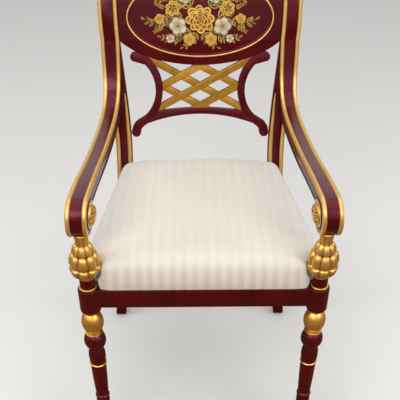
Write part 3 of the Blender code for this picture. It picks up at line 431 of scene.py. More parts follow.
@dataclass(frozen=True)
class StripedSatin:
    """Cream satin with stripes of its own tone: smooth bands beside ribbed ones, painted darker and stronger on
    faces that turn sideways, as shade.
    """

    pale: Colour = (0.800, 0.750, 0.680)
    dusk: Colour = (0.652, 0.593, 0.508)
    period: float = 0.0231

    def material(self, name: str) -> Finish:
        """Makes the finish.

        Args:
            name: The material's name.

        Returns:
            The material.
        """
        r = Recipe(name)
        across = r.add("ShaderNodeSeparateXYZ")
        sway = r.noise(7.0, 2.0)
        r.feed(across.inputs[0], r.place)
        x = r.calc("ADD", across.outputs["X"], r.band(sway, 0.2, 0.8, -0.0012, 0.0012))
        wave = r.calc("SINE", r.calc("MULTIPLY", x, math.tau / self.period))
        ribbed = r.band(wave, -0.55, 0.55)
        cord = r.calc("SINE", r.calc("MULTIPLY", x, 9 * math.tau / self.period))
        # Faces that turn sideways get darker, stronger stripes than the top: painted shade.
        facing = r.add("ShaderNodeSeparateXYZ")
        r.feed(facing.inputs[0], r.add("ShaderNodeNewGeometry").outputs["Normal"])
        sideways_shade = r.band(facing.outputs["Z"], 0.15, 0.97, 0.64, 0.15)
        colour = r.blend(r.calc("MULTIPLY", ribbed, sideways_shade), self.pale, self.dusk)
        colour = r.blend(r.band(cord, 0.2, 0.95, 0.0, 0.10), colour, self.dusk)
        mottle = r.noise(24.0, 5.0)
        colour = r.blend(r.band(mottle, 0.35, 0.75, 0.0, 0.12), colour, self.dusk)
        weft = r.noise(900.0, 2.0, r.stretched((0.25, 1.0, 1.0)))
        colour = r.blend(r.band(weft, 0.35, 0.75, 0.0, 0.14), colour, self.dusk)
        relief = r.bump(weft, 0.22, 0.0003)
        relief = r.bump(ribbed, 0.30, 0.0005, relief)
        relief = r.bump(mottle, 0.10, 0.0015, relief)
        r.shade(Base_Color=colour, Roughness=r.band(ribbed, 0.0, 1.0, 0.46, 0.62), Normal=relief)
        r.shade(Sheen_Weight=0.30, Sheen_Roughness=0.4, Specular_IOR_Level=0.22)
        return r.material


@dataclass(frozen=True)
class TabletPaint:
    """Hand-laid oil paint, its colours carried by the strokes themselves."""

    attribute: str = "paint"

    def material(self, name: str) -> Finish:
        """Makes the finish.

        Args:
            name: The material's name.

        Returns:
            The material.
        """
        r = Recipe(name)
        carried = r.add("ShaderNodeAttribute", attribute_name=self.attribute).outputs["Color"]
        streaks = r.noise(420.0, 4.0, r.stretched((1.0, 0.35, 0.35)))
        colour = r.blend(r.band(streaks, 0.35, 0.75, 0.0, 0.20), carried, (0.10, 0.035, 0.012))
        colour = r.blend(r.band(r.cracks(240.0), 0.0, 0.03, 0.25, 0.0), colour, (0.05, 0.012, 0.008))
        r.shade(Base_Color=colour, Roughness=r.band(streaks, 0.2, 0.8, 0.32, 0.5))
        r.shade(Normal=r.bump(streaks, 0.20, 0.0003), Specular_IOR_Level=0.25)
        return r.material


@dataclass(frozen=True)
class BareWood:
    """Unfinished wood, with long grain, pores and darker rings."""

    pale: Colour = (0.610, 0.410, 0.230)
    dark: Colour = (0.420, 0.255, 0.125)
    stretch: Triple = (1.0, 0.08, 1.0)

    def material(self, name: str) -> Finish:
        """Makes the finish.

        Args:
            name: The material's name.

        Returns:
            The material.
        """
        r = Recipe(name)
        along = r.stretched(self.stretch)
        rings = r.noise(95.0, 5.0, along)
        pores = r.noise(700.0, 3.0, along)
        colour = r.blend(r.band(rings, 0.35, 0.65), self.dark, self.pale)
        colour = r.blend(r.band(pores, 0.58, 0.75, 0.0, 0.5), colour, self.dark)
        r.shade(Base_Color=colour, Roughness=r.band(rings, 0.2, 0.8, 0.75, 0.58))
        r.shade(Normal=r.bump(pores, 0.3, 0.0003))
        return r.material


@dataclass(frozen=True)
class PlatedSteel:
    """Plated steel of screws and glides, finely scratched."""

    bright: Colour = (0.560, 0.555, 0.540)
    dull: Colour = (0.330, 0.325, 0.315)

    def material(self, name: str) -> Finish:
        """Makes the finish.

        Args:
            name: The material's name.

        Returns:
            The material.
        """
        r = Recipe(name)
        scratches = r.noise(900.0, 3.0, r.stretched((1.0, 0.1, 1.0)))
        colour = r.blend(r.band(scratches, 0.3, 0.7), self.dull, self.bright)
        r.shade(Base_Color=colour, Roughness=r.band(scratches, 0.2, 0.8, 0.42, 0.26), Metallic=1.0)
        r.shade(Normal=r.bump(scratches, 0.1, 0.0001))
        return r.material


@dataclass(frozen=True)
class DustCloth:
    """Thin black cloth under the seat, of open plain weave."""

    dark: Colour = (0.012, 0.012, 0.013)
    light: Colour = (0.038, 0.037, 0.038)

    def material(self, name: str) -> Finish:
        """Makes the finish.

        Args:
            name: The material's name.

        Returns:
            The material.
        """
        r = Recipe(name)
        warp = r.noise(1300.0, 1.0, r.stretched((1.0, 0.08, 1.0)))
        weft = r.noise(1300.0, 1.0, r.stretched((0.08, 1.0, 1.0)))
        weave = r.calc("MAXIMUM", warp, weft)
        lint = r.noise(60.0, 6.0)
        colour = r.blend(r.band(weave, 0.4, 0.75), self.dark, self.light)
        colour = r.blend(r.band(lint, 0.62, 0.8, 0.0, 0.4), colour, self.light)
        r.shade(Base_Color=colour, Roughness=r.band(weave, 0.3, 0.8, 0.95, 0.8), Sheen_Weight=0.2)
        r.shade(Normal=r.bump(weave, 0.4, 0.0003))
        return r.material


@dataclass(frozen=True)
class PaleFloor:
    """Plain pale studio floor, which only just varies and throws back a dimmer, warmer light."""

    light: Colour = (0.800, 0.790, 0.770)
    dark: Colour = (0.770, 0.760, 0.740)
    cast: Colour = (0.190, 0.105, 0.055)

    def material(self, name: str) -> Finish:
        """Makes the finish.

        Args:
            name: The material's name.

        Returns:
            The material.
        """
        r = Recipe(name)
        cloud = r.noise(1.4, 3.0)
        seen = r.add("ShaderNodeLightPath").outputs["Is Camera Ray"]
        colour = r.blend(seen, self.cast, r.blend(cloud, self.dark, self.light))
        r.shade(Base_Color=colour, Roughness=r.band(cloud, 0.0, 1.0, 0.6, 0.7), Specular_IOR_Level=0.2)
        return r.material


class Bench:
    """Hand tools. Each works on objects through Blender's operators, as at a bench."""

    @staticmethod
    def take(*pieces: Piece) -> None:
        """Selects only these objects, and makes the first the active one.

        Args:
            pieces: The objects.
        """
        bpy.ops.object.select_all(action="DESELECT")
        for piece in pieces:
            piece.select_set(True)
        bpy.context.view_layer.objects.active = pieces[0]

    @staticmethod
    @contextmanager
    def editing(piece: Piece) -> Iterator[None]:
        """Opens a piece's mesh for editing with everything in it selected.

        Args:
            piece: The piece to edit.

        Returns:
            The open editing session, which closes by itself.
        """
        Bench.take(piece)
        bpy.ops.object.mode_set(mode="EDIT")
        bpy.ops.mesh.select_all(action="SELECT")
        yield
        bpy.ops.object.mode_set(mode="OBJECT")

    @staticmethod
    def named(name: str) -> Piece:
        """Names the object that was just added.

        Args:
            name: Its name.

        Returns:
            The object.
        """
        piece = bpy.context.active_object
        piece.name = name
        piece.data.name = name
        return piece

    @staticmethod
    def closed(piece: Piece) -> Piece:
        """Merges the doubles of a shell and turns its faces outwards.

        Args:
            piece: The shell.

        Returns:
            The same piece.
        """
        with Bench.editing(piece):
            bpy.ops.mesh.remove_doubles(threshold=1e-6)
            bpy.ops.mesh.normals_make_consistent(inside=False)
        return piece

    @staticmethod
    def modified(piece: Piece, kind: str, **settings: object) -> Piece:
        """Adds a modifier and applies it.

        Args:
            piece: The piece to change.
            kind: The modifier's type.
            settings: Its settings.

        Returns:
            The same piece.
        """
        modifier = piece.modifiers.new(kind.lower(), kind)
        for key, value in settings.items():
            setattr(modifier, key, value)
        Bench.take(piece)
        bpy.ops.object.modifier_apply(modifier=modifier.name)
        return piece

    @staticmethod
    def placed(piece: Piece, move: Callable[[Vector], Sequence[float]]) -> Piece:
        """Moves each vertex to its place in the chair.

        Args:
            piece: The piece to move.
            move: Gives the place of a drawn point.

        Returns:
            The same piece, its faces outwards again.
        """
        for vertex in piece.data.vertices:
            vertex.co = move(vertex.co.copy())
        return Bench.closed(piece)

    @staticmethod
    def copied(piece: Piece, name: str) -> Piece:
        """Copies a piece with a mesh of its own.

        Args:
            piece: The piece to copy.
            name: The copy's name.

        Returns:
            The copy.
        """
        copy = bpy.data.objects.new(name, piece.data.copy())
        copy.data.name = name
        bpy.context.scene.collection.objects.link(copy)
        return copy

    @staticmethod
    def joined(name: str, pieces: Sequence[Piece]) -> Piece:
        """Joins pieces into the first of them.

        Args:
            name: Name of the whole.
            pieces: The pieces.

        Returns:
            The joined piece.
        """
        Bench.take(*pieces)
        if len(pieces) > 1:
            bpy.ops.object.join()
        return Bench.named(name)

    @staticmethod
    def scrapped(*pieces: Piece) -> None:
        """Removes patterns that were only copied from."""
        for piece in pieces:
            bpy.data.objects.remove(piece)

    @staticmethod
    def turned(name: str, profile: Profile, steps: int = 56) -> Piece:
        """Turns a profile about the Z axis.

        Args:
            name: The piece's name.
            profile: Radius and height of each point, from axis to axis.
            steps: Facets round the axis.

        Returns:
            The turned solid.
        """
        bpy.ops.object.select_all(action="DESELECT")
        bpy.ops.mesh.primitive_plane_add(size=0.01)
        piece = Bench.named(name)
        with Bench.editing(piece):
            bpy.ops.mesh.merge(type="CENTER")
            bpy.ops.transform.translate(value=(profile[0][0], 0, profile[0][1]))
            for (radius, height), (next_radius, next_height) in zip(profile, profile[1:]):
                step = {"value": (next_radius - radius, 0, next_height - height)}
                bpy.ops.mesh.extrude_vertices_move(TRANSFORM_OT_translate=step)
            bpy.ops.mesh.select_all(action="SELECT")
            bpy.ops.mesh.spin(steps=steps, angle=math.tau, center=(0, 0, 0), axis=(0, 0, 1))
        return Bench.closed(piece)

    @staticmethod
    def softened(node: str, name: str, width: float, rounds: int = 2) -> Piece:
        """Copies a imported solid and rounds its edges.

        Args:
            node: The solid's name.
            name: The new piece's name.
            width: Width of the rounding.
            rounds: Steps in the rounding.

        Returns:
            The rounded piece.
        """
        piece = Bench.copied(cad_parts[node], name)
        with Bench.editing(piece):
            bpy.ops.mesh.remove_doubles(threshold=1e-5)
            bpy.ops.mesh.dissolve_limited(angle_limit=math.radians(0.5))
            bpy.ops.mesh.normals_make_consistent(inside=False)
        return Bench.modified(
            piece, "BEVEL", width=width, segments=rounds, limit_method="ANGLE", angle_limit=math.radians(32)
        )

    @staticmethod
    def drawn(name: str, points: Sequence[Sequence[float]], ring: bool) -> Piece:
        """Draws a line of straight steps.

        Args:
            name: The line's name.
            points: Its points, with two or three numbers each.
            ring: Whether it runs back to its start.

        Returns:
            The curve object.
        """
        bpy.ops.object.select_all(action="DESELECT")
        bpy.ops.curve.primitive_bezier_curve_add()
        line = Bench.named(name)
        line.data.splines.clear()
        spline = line.data.splines.new("POLY")
        spline.points.add(len(points) - 1)
        for target, point in zip(spline.points, points):
            target.co = (*point, *(0.0,) * (3 - len(point)), 1.0)
        spline.use_cyclic_u = ring
        return line

    @staticmethod
    def tube(
        name: str, points: Sequence[Vector], radius: float, ring: bool = False, rounds: int = 4, tip: int = 0
    ) -> Piece:
        """Makes a round bead along a line.

        Args:
            name: The piece's name.
            points: The line's points in the chair.
            radius: Half the bead's thickness.
            ring: Whether the line is closed.
            rounds: Steps in a quarter of its round.
            tip: Over how many points its end narrows.

        Returns:
            The bead.
        """
        line = Bench.drawn(name, points, ring)
        for i, point in enumerate(list(line.data.splines[0].points)[::-1][:tip]):
            point.radius = 0.06 + 0.94 * (i / tip) ** 0.5
        line.data.dimensions = "3D"
        line.data.bevel_depth = radius
        line.data.bevel_resolution = rounds
        line.data.use_fill_caps = not ring
        Bench.take(line)
        bpy.ops.object.convert(target="MESH")
        return Bench.closed(Bench.named(name))

    @staticmethod
    def board(name: str, outline: Sequence[Sequence[float]], thickness: float, edge: float) -> Piece:
        """Saws a flat board to an outline and rounds its edges.

        Args:
            name: The piece's name.
            outline: The outline's points, as drawn.
            thickness: The board's thickness.
            edge: Radius of its edges.

        Returns:
            The board, lying in the drawing's plane with its middle at height 0.
        """
        line = Bench.drawn(name, outline, True)
        line.data.dimensions = "2D"
        line.data.fill_mode = "BOTH"
        line.data.extrude = thickness / 2 - edge
        line.data.bevel_depth = edge
        line.data.bevel_resolution = 3
        line.data.offset = -edge
        Bench.take(line)
        bpy.ops.object.convert(target="MESH")
        return Bench.closed(Bench.named(name))

    @staticmethod
    def done(
        piece: Piece, finish: Finish, slot: Slot, nodes: Sequence[str] = (), angle: float = 38.0
    ) -> Piece:
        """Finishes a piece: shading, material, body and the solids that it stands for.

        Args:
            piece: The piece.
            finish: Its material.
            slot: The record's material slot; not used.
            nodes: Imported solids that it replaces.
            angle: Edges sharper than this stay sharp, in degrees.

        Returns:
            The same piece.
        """
        Bench.take(piece)
        bpy.ops.object.shade_smooth_by_angle(angle=math.radians(angle))
        piece.data.materials.clear()
        piece.data.materials.append(finish)
        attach(piece, "root")
        if nodes:
            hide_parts(*nodes)
        log.info("%s: %d faces", piece.name, len(piece.data.polygons))
        return piece

    @staticmethod
    def dressed(nodes: Sequence[str], finish: Finish) -> None:
        """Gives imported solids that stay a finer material.

        Args:
            nodes: The solids' names.
            finish: Their material.
        """
        for node in nodes:
            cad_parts[node].data.materials.clear()
            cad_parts[node].data.materials.append(finish)
            log.info("%s: kept from the packed model", node)


@dataclass(frozen=True)
class Finishes:
    """The chair's materials."""

    lacquer: Finish
    lining: Finish
    gilding: Finish
    burnished: Finish
    turned_gold: Finish
    lattice_gold: Finish
    eye_gold: Finish
    dish: Finish
    satin: Finish
    paint: Finish
    beech: Finish
    plywood: Finish
    steel: Finish
    dust_cloth: Finish

    @classmethod
    def mixed(cls) -> "Finishes":
        """Mixes all the chair's materials.

        Returns:
            The materials.
        """
        # This near-black lacquer is for the dark lines of painted shade along the arms' lower edges and round
        # the eyes.
        dark = (0.014, 0.0016, 0.0024)
        return cls(
            lacquer=Lacquer().material("maroon_lacquer"),
            lining=Lacquer(deep=dark, warm=(0.022, 0.0020, 0.0024), wear=0.1, coat=0.0, gloss=0.2).material(
                "dark_lining"
            ),
            gilding=Gilding().material("carved_gilding"),
            burnished=Gilding(
                bright=(0.820, 0.520, 0.155), deep=(0.720, 0.425, 0.105), metal=0.62,
                glaze_share=0.3, rubbing=0.12,
            ).material("burnished_gilding"),
            turned_gold=Gilding(
                bright=(0.850, 0.485, 0.118), deep=(0.690, 0.350, 0.062), metal=0.84, smooth=0.29, dull=0.36,
                glaze_share=0.3, rubbing=0.12,
            ).material("turned_gilding"),
            # The lattice's near-black sides are painted shade along the bars' edges.
            lattice_gold=Gilding(
                bright=(0.440, 0.216, 0.026), deep=(0.355, 0.166, 0.017), metal=0.36, smooth=0.36, dull=0.48,
                glaze_share=0.3, rubbing=0.15, gloss=0.2, sides=(0.040, 0.010, 0.004),
            ).material("lattice_gilding"),
            eye_gold=Gilding(
                bright=(0.700, 0.455, 0.200), deep=(0.560, 0.330, 0.120), metal=0.55, smooth=0.34, dull=0.48
            ).material("eye_gilding"),
            # The dark dish under each rosette is painted shade between its petals.
            dish=Gilding(
                bright=(0.120, 0.060, 0.016), deep=(0.060, 0.026, 0.008), metal=0.3, smooth=0.45, dull=0.6
            ).material("antique_glaze"),
            satin=StripedSatin().material("striped_satin"),
            paint=TabletPaint().material("tablet_paint"),
            beech=BareWood().material("bare_beech"),
            plywood=BareWood(
                pale=(0.560, 0.370, 0.205), dark=(0.400, 0.245, 0.125), stretch=(0.08, 1.0, 6.0)
            ).material("bare_plywood"),
            steel=PlatedSteel().material("plated_steel"),
            dust_cloth=DustCloth().material("dust_cloth"),
        )


@dataclass(frozen=True)
class Plan:
    """Main lines of the chair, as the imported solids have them."""

    post_line_y: float = -0.2772878
    rail_top: float = 0.434
    post_x_at_rail: float = 0.2383
    post_lean: float = 0.045
    back_depth: float = 0.456
    recline: float = math.radians(11.77)
    leg_x: float = 0.1925
    leg_width: float = 0.039
    flare: float = 0.0302
    flare_start: float = 0.067
    flare_length: float = 0.378
    stile_top_width: float = 0.0455
    roll_rise: float = 0.455
    roll_radius: float = 0.0135
    shoulder_rise: float = 0.356
    strip_depth: float = 0.008
    fit_gap: float = 0.0003

    def post_x(self, height: float) -> float:
        """Distance of the leaning post axis from the chair's middle."""
        return self.post_x_at_rail + self.post_lean * (height - self.rail_top)

    def on_post(self, side: Side) -> Callable[[Vector], Vector]:
        """Move from a shape turned about Z onto a side's post."""
        return lambda p: Vector((side.value * (p.x + self.post_x(p.z)), p.y + self.post_line_y, p.z))

    def depth_and_height(self, rise: float, forward: float = 0.0) -> Vector:
        """Side view of a place in the back.

        Args:
            rise: How far up along the back.
            forward: How far in front of its plane.

        Returns:
            Depth behind the posts, and height.
        """
        sine, cosine = math.sin(self.recline), math.cos(self.recline)
        return Vector(
            (self.back_depth + rise * sine - forward * cosine, self.rail_top + rise * cosine + forward * sine)
        )

    def on_back(self, x: float, rise: float, forward: float) -> Vector:
        """Place in the chair of a point in the back: across, up along it, and forward of its plane."""
        depth, height = self.depth_and_height(rise, forward)
        return Vector((x, depth + self.post_line_y, height))

    def stile_x(self, rise: float) -> float:
        """Distance of the stile's centre line from the chair's middle."""
        return self.leg_x + self.flare * ease((rise - self.flare_start) / self.flare_length)

    def stile_half(self, rise: float) -> float:
        """Half the stile's width."""
        return lerp(self.leg_width, self.stile_top_width, ease(rise / self.roll_rise)) / 2


class Lathe:
    """Profiles of turned work, from the top down."""

    @staticmethod
    def swelling(top: float, height: float, upper: float, belly: float, lower: float) -> Profile:
        """Elliptic bulge.

        Args:
            top: Height of its upper end.
            height: How tall it is.
            upper: Radius at its upper end.
            belly: Radius at its middle.
            lower: Radius at its lower end.

        Returns:
            The profile.
        """
        points, steps = [], 18
        for i in range(steps + 1):
            share = i / steps
            end = upper if share < 0.5 else lower
            radius = math.sqrt(belly**2 - (belly**2 - end**2) * (2 * share - 1) ** 2)
            points.append((radius, top - height * share))
        return points

    @staticmethod
    def half_round(top: float, height: float, radius: float, root: float) -> Profile:
        """Half-round ring.

        Args:
            top: Height of its upper end.
            height: How tall it is.
            radius: Its widest radius.
            root: Radius at its ends.

        Returns:
            The profile.
        """
        steps = 9
        return [
            (root + (radius - root) * math.sin(math.pi * i / steps), top - height * i / steps)
            for i in range(steps + 1)
        ]

    @staticmethod
    def drum(top: float, height: float, radius: float, upper_round: float, lower_round: float) -> Profile:
        """Cylinder with rounded ends.

        Args:
            top: Height of its upper end.
            height: How tall it is.
            radius: Its radius.
            upper_round: Rounding of its upper edge.
            lower_round: Rounding of its lower edge.

        Returns:
            The profile.
        """
        steps = 6
        points = []
        for i in range(steps + 1):
            turn = math.pi / 2 * i / steps
            high = top - upper_round * (1 - math.cos(turn))
            points.append((radius - upper_round * (1 - math.sin(turn)), high))
        for i in range(steps + 1):
            turn = math.pi / 2 * i / steps
            low = top - height + lower_round * (1 - math.sin(turn))
            points.append((radius - lower_round * (1 - math.cos(turn)), low))
        return points

    @staticmethod
    def solid(profile: Profile) -> Profile:
        """The profile with both its ends brought to the axis."""
        return [(0.0, profile[0][1]), *profile, (0.0, profile[-1][1])]


@dataclass(frozen=True)
class LobeRow:
    """One row of carved lobes round the arm support, each a tapered egg."""

    height: float
    reach: float
    depth: float
    half_width: float
    half_height: float
    taper: float
    tilt: float
    count: int = 8


@dataclass(frozen=True)
class FrontPost:
    """One front leg with the carved arm support that stands on it."""

    side: Side
    plan: Plan
    finishes: Finishes
    drum_height: float = 0.0575
    drum_radius: float = 0.0218
    neck_radius: float = 0.0152
    rows: tuple[LobeRow, ...] = (
        LobeRow(0.4785, 0.0299, 0.0106, 0.0100, 0.0140, -0.30, 16.0),
        LobeRow(0.5050, 0.0312, 0.0108, 0.0106, 0.0158, 0.10, -6.0),
        LobeRow(0.5295, 0.0222, 0.0080, 0.0078, 0.0126, 0.18, -13.0),
        LobeRow(0.5500, 0.0138, 0.0042, 0.0046, 0.0150, -0.06, 0.0),
    )

    def leg_sections(self) -> tuple[list[Profile], list[Profile]]:
        """Turned sections of the leg.

        Returns:
            The lacquered sections, and the gilded ones.
        """
        top = self.plan.rail_top
        ball = top - self.drum_height
        ring = ball - 0.0550
        bulb = ring - 0.003
        barrel = bulb - 0.0400
        cuff = barrel - 0.0415
        shaft = cuff - 0.004
        bead = shaft - 0.0865
        ankle = bead - 0.009
        foot_ring, foot = 0.0313, 0.0263
        lacquered = [
            Lathe.drum(top, self.drum_height, self.drum_radius, 0.0018, 0.0050),
            Lathe.swelling(bulb, 0.0400, self.neck_radius, 0.0235, 0.0138),
            Lathe.swelling(barrel, 0.0415, 0.0138, 0.0183, 0.0162),
            [(0.0166, cuff), (0.0168, shaft), (0.0158, shaft - 0.041), (0.0136, bead)],
            Lathe.half_round(bead, 0.009, 0.0158, 0.0128),
            [(0.0128, ankle), (0.0146, ankle - 0.006), (0.0136, 0.080), (0.0108, foot_ring)],
            Lathe.swelling(foot, 0.022, 0.0105, 0.0145, 0.0110),
        ]
        gilded = [
            Lathe.half_round(ball + 0.0020, 0.0038, 0.0197, 0.0150),
            Lathe.swelling(ball - 0.0014, 0.0536, 0.0085, 0.0233, 0.0120),
            Lathe.half_round(ring + 0.0030, 0.0030, 0.0170, 0.0130),
            Lathe.half_round(ring + 0.0002, 0.0040, 0.0190, 0.0140),
            Lathe.half_round(cuff + 0.0004, 0.0044, 0.0184, 0.0160),
            Lathe.half_round(foot_ring + 0.0002, 0.0054, 0.0130, 0.0100),
        ]
        return lacquered, gilded

    def turned_set(self, name: str, sections: Sequence[Profile]) -> Piece:
        """Turns sections and joins them on the post's axis.

        Args:
            name: The piece's name.
            sections: Their profiles.

        Returns:
            The joined piece.
        """
        pieces = [Bench.turned(f"{name}_{i}", Lathe.solid(profile)) for i, profile in enumerate(sections)]
        return Bench.joined(name, pieces)

    def build_leg(self) -> None:
        """Turns the leg in lacquer, with its gilded ball and rings."""
        word = self.side.word
        lacquered, gilded = self.leg_sections()
        leg = self.turned_set(f"{word}_leg_turning", lacquered)
        Bench.placed(leg, self.plan.on_post(self.side))
        Bench.done(leg, self.finishes.lacquer, Slot.MAROON, [f"{word}_front_leg"])
        rings = self.turned_set(f"{word}_leg_gilding", gilded)
        Bench.placed(rings, self.plan.on_post(self.side))
        Bench.done(rings, self.finishes.turned_gold, Slot.GILT)

    def carved_row(self, name: str, row: LobeRow) -> list[Piece]:
        """Carves one lobe and copies it round the post.

        Args:
            name: Name that the copies start with.
            row: The row's sizes.

        Returns:
            The lobes, about the post's axis.
        """
        bpy.ops.object.select_all(action="DESELECT")
        bpy.ops.mesh.primitive_uv_sphere_add(segments=18, ring_count=14, radius=1.0)
        pattern = Bench.named(f"{name}_pattern")
        for vertex in pattern.data.vertices:
            vertex.co = [math.copysign(abs(part) ** 0.80, part) for part in vertex.co]
        with Bench.editing(pattern):
            bpy.ops.transform.resize(value=(row.depth, row.half_width, row.half_height))
        for vertex in pattern.data.vertices:
            share = vertex.co.z / row.half_height
            vertex.co.x *= 1 - row.taper * share
            vertex.co.y *= 1 - row.taper * share
        pattern.data.transform(Matrix.Rotation(math.radians(row.tilt), 4, "Y"))
        pattern.data.transform(Matrix.Translation((row.reach - row.depth, 0, row.height)))
        lobes = []
        for i in range(row.count):
            lobe = Bench.copied(pattern, f"{name}_{i}")
            lobe.data.transform(Matrix.Rotation(math.tau * i / row.count - math.pi / 2, 4, "Z"))
            lobes.append(lobe)
        Bench.scrapped(pattern)
        return lobes

    def build_support(self) -> None:
        """Carves the gilded support on its lacquered collar."""
        word = self.side.word
        base = self.plan.rail_top + self.plan.fit_gap
        collar = Bench.turned(f"{word}_support_collar", Lathe.solid([(0.0158, base + 0.030), (0.0158, base)]))
        Bench.placed(collar, self.plan.on_post(self.side))
        Bench.done(collar, self.finishes.lacquer, Slot.MAROON)
        core = [(0.0146, 0.5654), (0.0158, 0.5640), (0.0160, 0.5618), (0.0148, 0.5598), (0.0120, 0.5570)]
        core += [(0.0112, 0.5500), (0.0120, 0.5400), (0.0160, 0.5270)]
        core += [(0.0185, 0.5170), (0.0225, 0.5030), (0.0235, 0.4900), (0.0222, 0.4760), (0.0185, 0.4665)]
        core += [(0.0172, 0.4640), (0.0172, 0.4612), (0.0160, 0.4600)]
        pieces = [Bench.turned(f"{word}_carved_core", Lathe.solid(core))]
        ring = Lathe.half_round(base + 0.0044, 0.0044, 0.0188, 0.015)
        pieces.append(Bench.turned(f"{word}_support_ring", Lathe.solid(ring)))
        for i, row in enumerate(self.rows):
            pieces += self.carved_row(f"{word}_lobe_{i}", row)
        carving = Bench.joined(f"{word}_carved_support", pieces)
        Bench.placed(carving, self.plan.on_post(self.side))
        Bench.done(carving, self.finishes.gilding, Slot.GILT, [f"{word}_arm_support"])

    def build(self) -> None:
        """Builds the leg and its support."""
        self.build_leg()
        self.build_support()


@dataclass(frozen=True)
class ScrollArm:
    """One scrolled arm with its gilded edge beads, dark lines of painted shade along its sides, and rosettes.
    """

    side: Side
    plan: Plan
    finishes: Finishes
    width: float = 0.0392
    thickness: float = 0.028
    low_depth: float = 0.298
    low_rise: float = 0.190
    sweep_rise: float = 0.301
    front_x: float = 0.2477
    slope: float = -0.0594
    volute_depth: float = 0.008
    volute_height: float = 0.601
    volute_radius: float = 0.039
    bead_radius: float = 0.0047
    bead_sink: float = 0.0016
    bead_half: float = 0.0044
    rosette_radius: float = 0.0205

    def stile_share(self, depth: float, height: float) -> float:
        """How far a place of the arm has come onto the stile.

        Args:
            depth: Depth behind the post line.
            height: Height above the floor.

        Returns:
            0 on the arm, 1 at the shoulder.
        """
        low = self.plan.depth_and_height(self.low_rise).y
        high = self.plan.depth_and_height(self.plan.shoulder_rise).y
        climb = ease((height - low) / (high - low))
        return climb * ease((depth - self.low_depth) / (self.plan.back_depth - self.low_depth))

    def middle_x(self, depth: float, height: float) -> float:
        """Distance of the arm's middle line from the chair's middle."""
        straight = self.front_x + self.slope * (depth + self.volute_radius - self.volute_depth)
        return lerp(straight, self.plan.stile_x(self.plan.shoulder_rise), self.stile_share(depth, height))

    def half_width(self, depth: float, height: float) -> float:
        """Half the arm's width, which grows a little at the front.

        Args:
            depth: Depth behind the post line.
            height: Height above the floor.

        Returns:
            Half the width.
        """
        top = self.plan.stile_half(self.plan.shoulder_rise)
        front = self.width / 2 + 0.0011 * (1 - ease((depth - 0.03) / 0.15))
        return lerp(front, top, self.stile_share(depth, height))

    def at(self, depth: float, height: float, face: float, proud: float = 0.0) -> Vector:
        """Place in the chair of a point on the arm.

        Args:
            depth: Depth behind the post line.
            height: Height above the floor.
            face: Share of the half width, from -1 on the inner side to 1 on the outer one.
            proud: Distance beyond that, outwards from the arm's middle where face is positive.

        Returns:
            The place.
        """
        across = face * self.half_width(depth, height) + proud
        x = self.side.value * (self.middle_x(depth, height) + across)
        return Vector((x, depth + self.plan.post_line_y, height))

    def top_line(self) -> list[Vector]:
        """Upper face in side view.

        Returns:
            Its points, from the top of the volute back and up to the shoulder.
        """
        top = Vector((self.volute_depth, self.volute_height + self.volute_radius))
        low = Vector((self.low_depth, self.plan.rail_top + self.low_rise))
        sweep = self.plan.depth_and_height(self.sweep_rise)
        end = self.plan.depth_and_height(self.plan.shoulder_rise)
        up = (end - sweep).normalized()
        line = bezier((top, top + Vector((0.120, 0)), low - Vector((0.120, 0)), low), 26)
        line += bezier((low, low + Vector((0.165, 0)), sweep - 0.090 * up, sweep), 40)[1:]
        return line + [sweep.lerp(end, i / 6) for i in range(1, 7)]

    def under_line(self) -> list[Vector]:
        """Lower face in side view.

        Returns:
            Its points, from the volute back to where it meets the stile.
        """
        centre = Vector((self.volute_depth, self.volute_height))
        wall = self.plan.depth_and_height(0.0)
        sine, cosine = math.sin(self.plan.recline), math.cos(self.plan.recline)
        seat = self.plan.strip_depth - self.plan.fit_gap

        def behind(point: Vector) -> float:
            """How far a point lies behind the plane of the back."""
            return (point.x - wall.x) * cosine - (point.y - wall.y) * sine

        line = self.top_line()
        under = []
        for before, here, after in zip(line, line[1:], line[2:]):
            along = (after - before).normalized()
            point = here + self.thickness * Vector((along.y, -along.x))
            if (point - centre).length <= self.volute_radius:
                continue
            if under and behind(point) > seat:
                gone = behind(under[-1])
                under.append(under[-1].lerp(point, (seat - gone) / (behind(point) - gone)))
                break
            under.append(point)
        return under

    def volute_point(self, angle: float, radius: float) -> Vector:
        """Side view of a point about the volute's centre.

        Args:
            angle: Its angle, in degrees.
            radius: Its distance from the centre.

        Returns:
            Depth behind the posts, and height.
        """
        turn = math.radians(angle)
        return Vector(
            (self.volute_depth + radius * math.cos(turn), self.volute_height + radius * math.sin(turn))
        )

    def start_angle(self) -> float:
        """Angle at which the lower face leaves the volute, in degrees past a whole turn."""
        start = self.under_line()[0] - Vector((self.volute_depth, self.volute_height))
        return 360 + math.degrees(math.atan2(start.y, start.x))

    def outline(self) -> list[Vector]:
        """Side view of the whole arm.

        Returns:
            Its outline's points.
        """
        end = self.plan.depth_and_height(self.plan.shoulder_rise, self.plan.fit_gap - self.plan.strip_depth)
        last = self.start_angle()
        volute = [self.volute_point(lerp(last, 90, i / 60), self.volute_radius) for i in range(60)]
        return self.top_line() + [end] + self.under_line()[::-1] + volute

    def build_body(self) -> None:
        """Saws the arm to its side view and draws it onto its plan line."""
        half = self.width / 2
        arm = Bench.board(f"{self.side.word}_scroll_arm", self.outline(), self.width, 0.0012)
        Bench.placed(arm, lambda p: self.at(p.x, p.y, p.z / half))
        Bench.done(arm, self.finishes.lacquer, Slot.MAROON, [f"{self.side.word}_arm"], SAWN_EDGE)

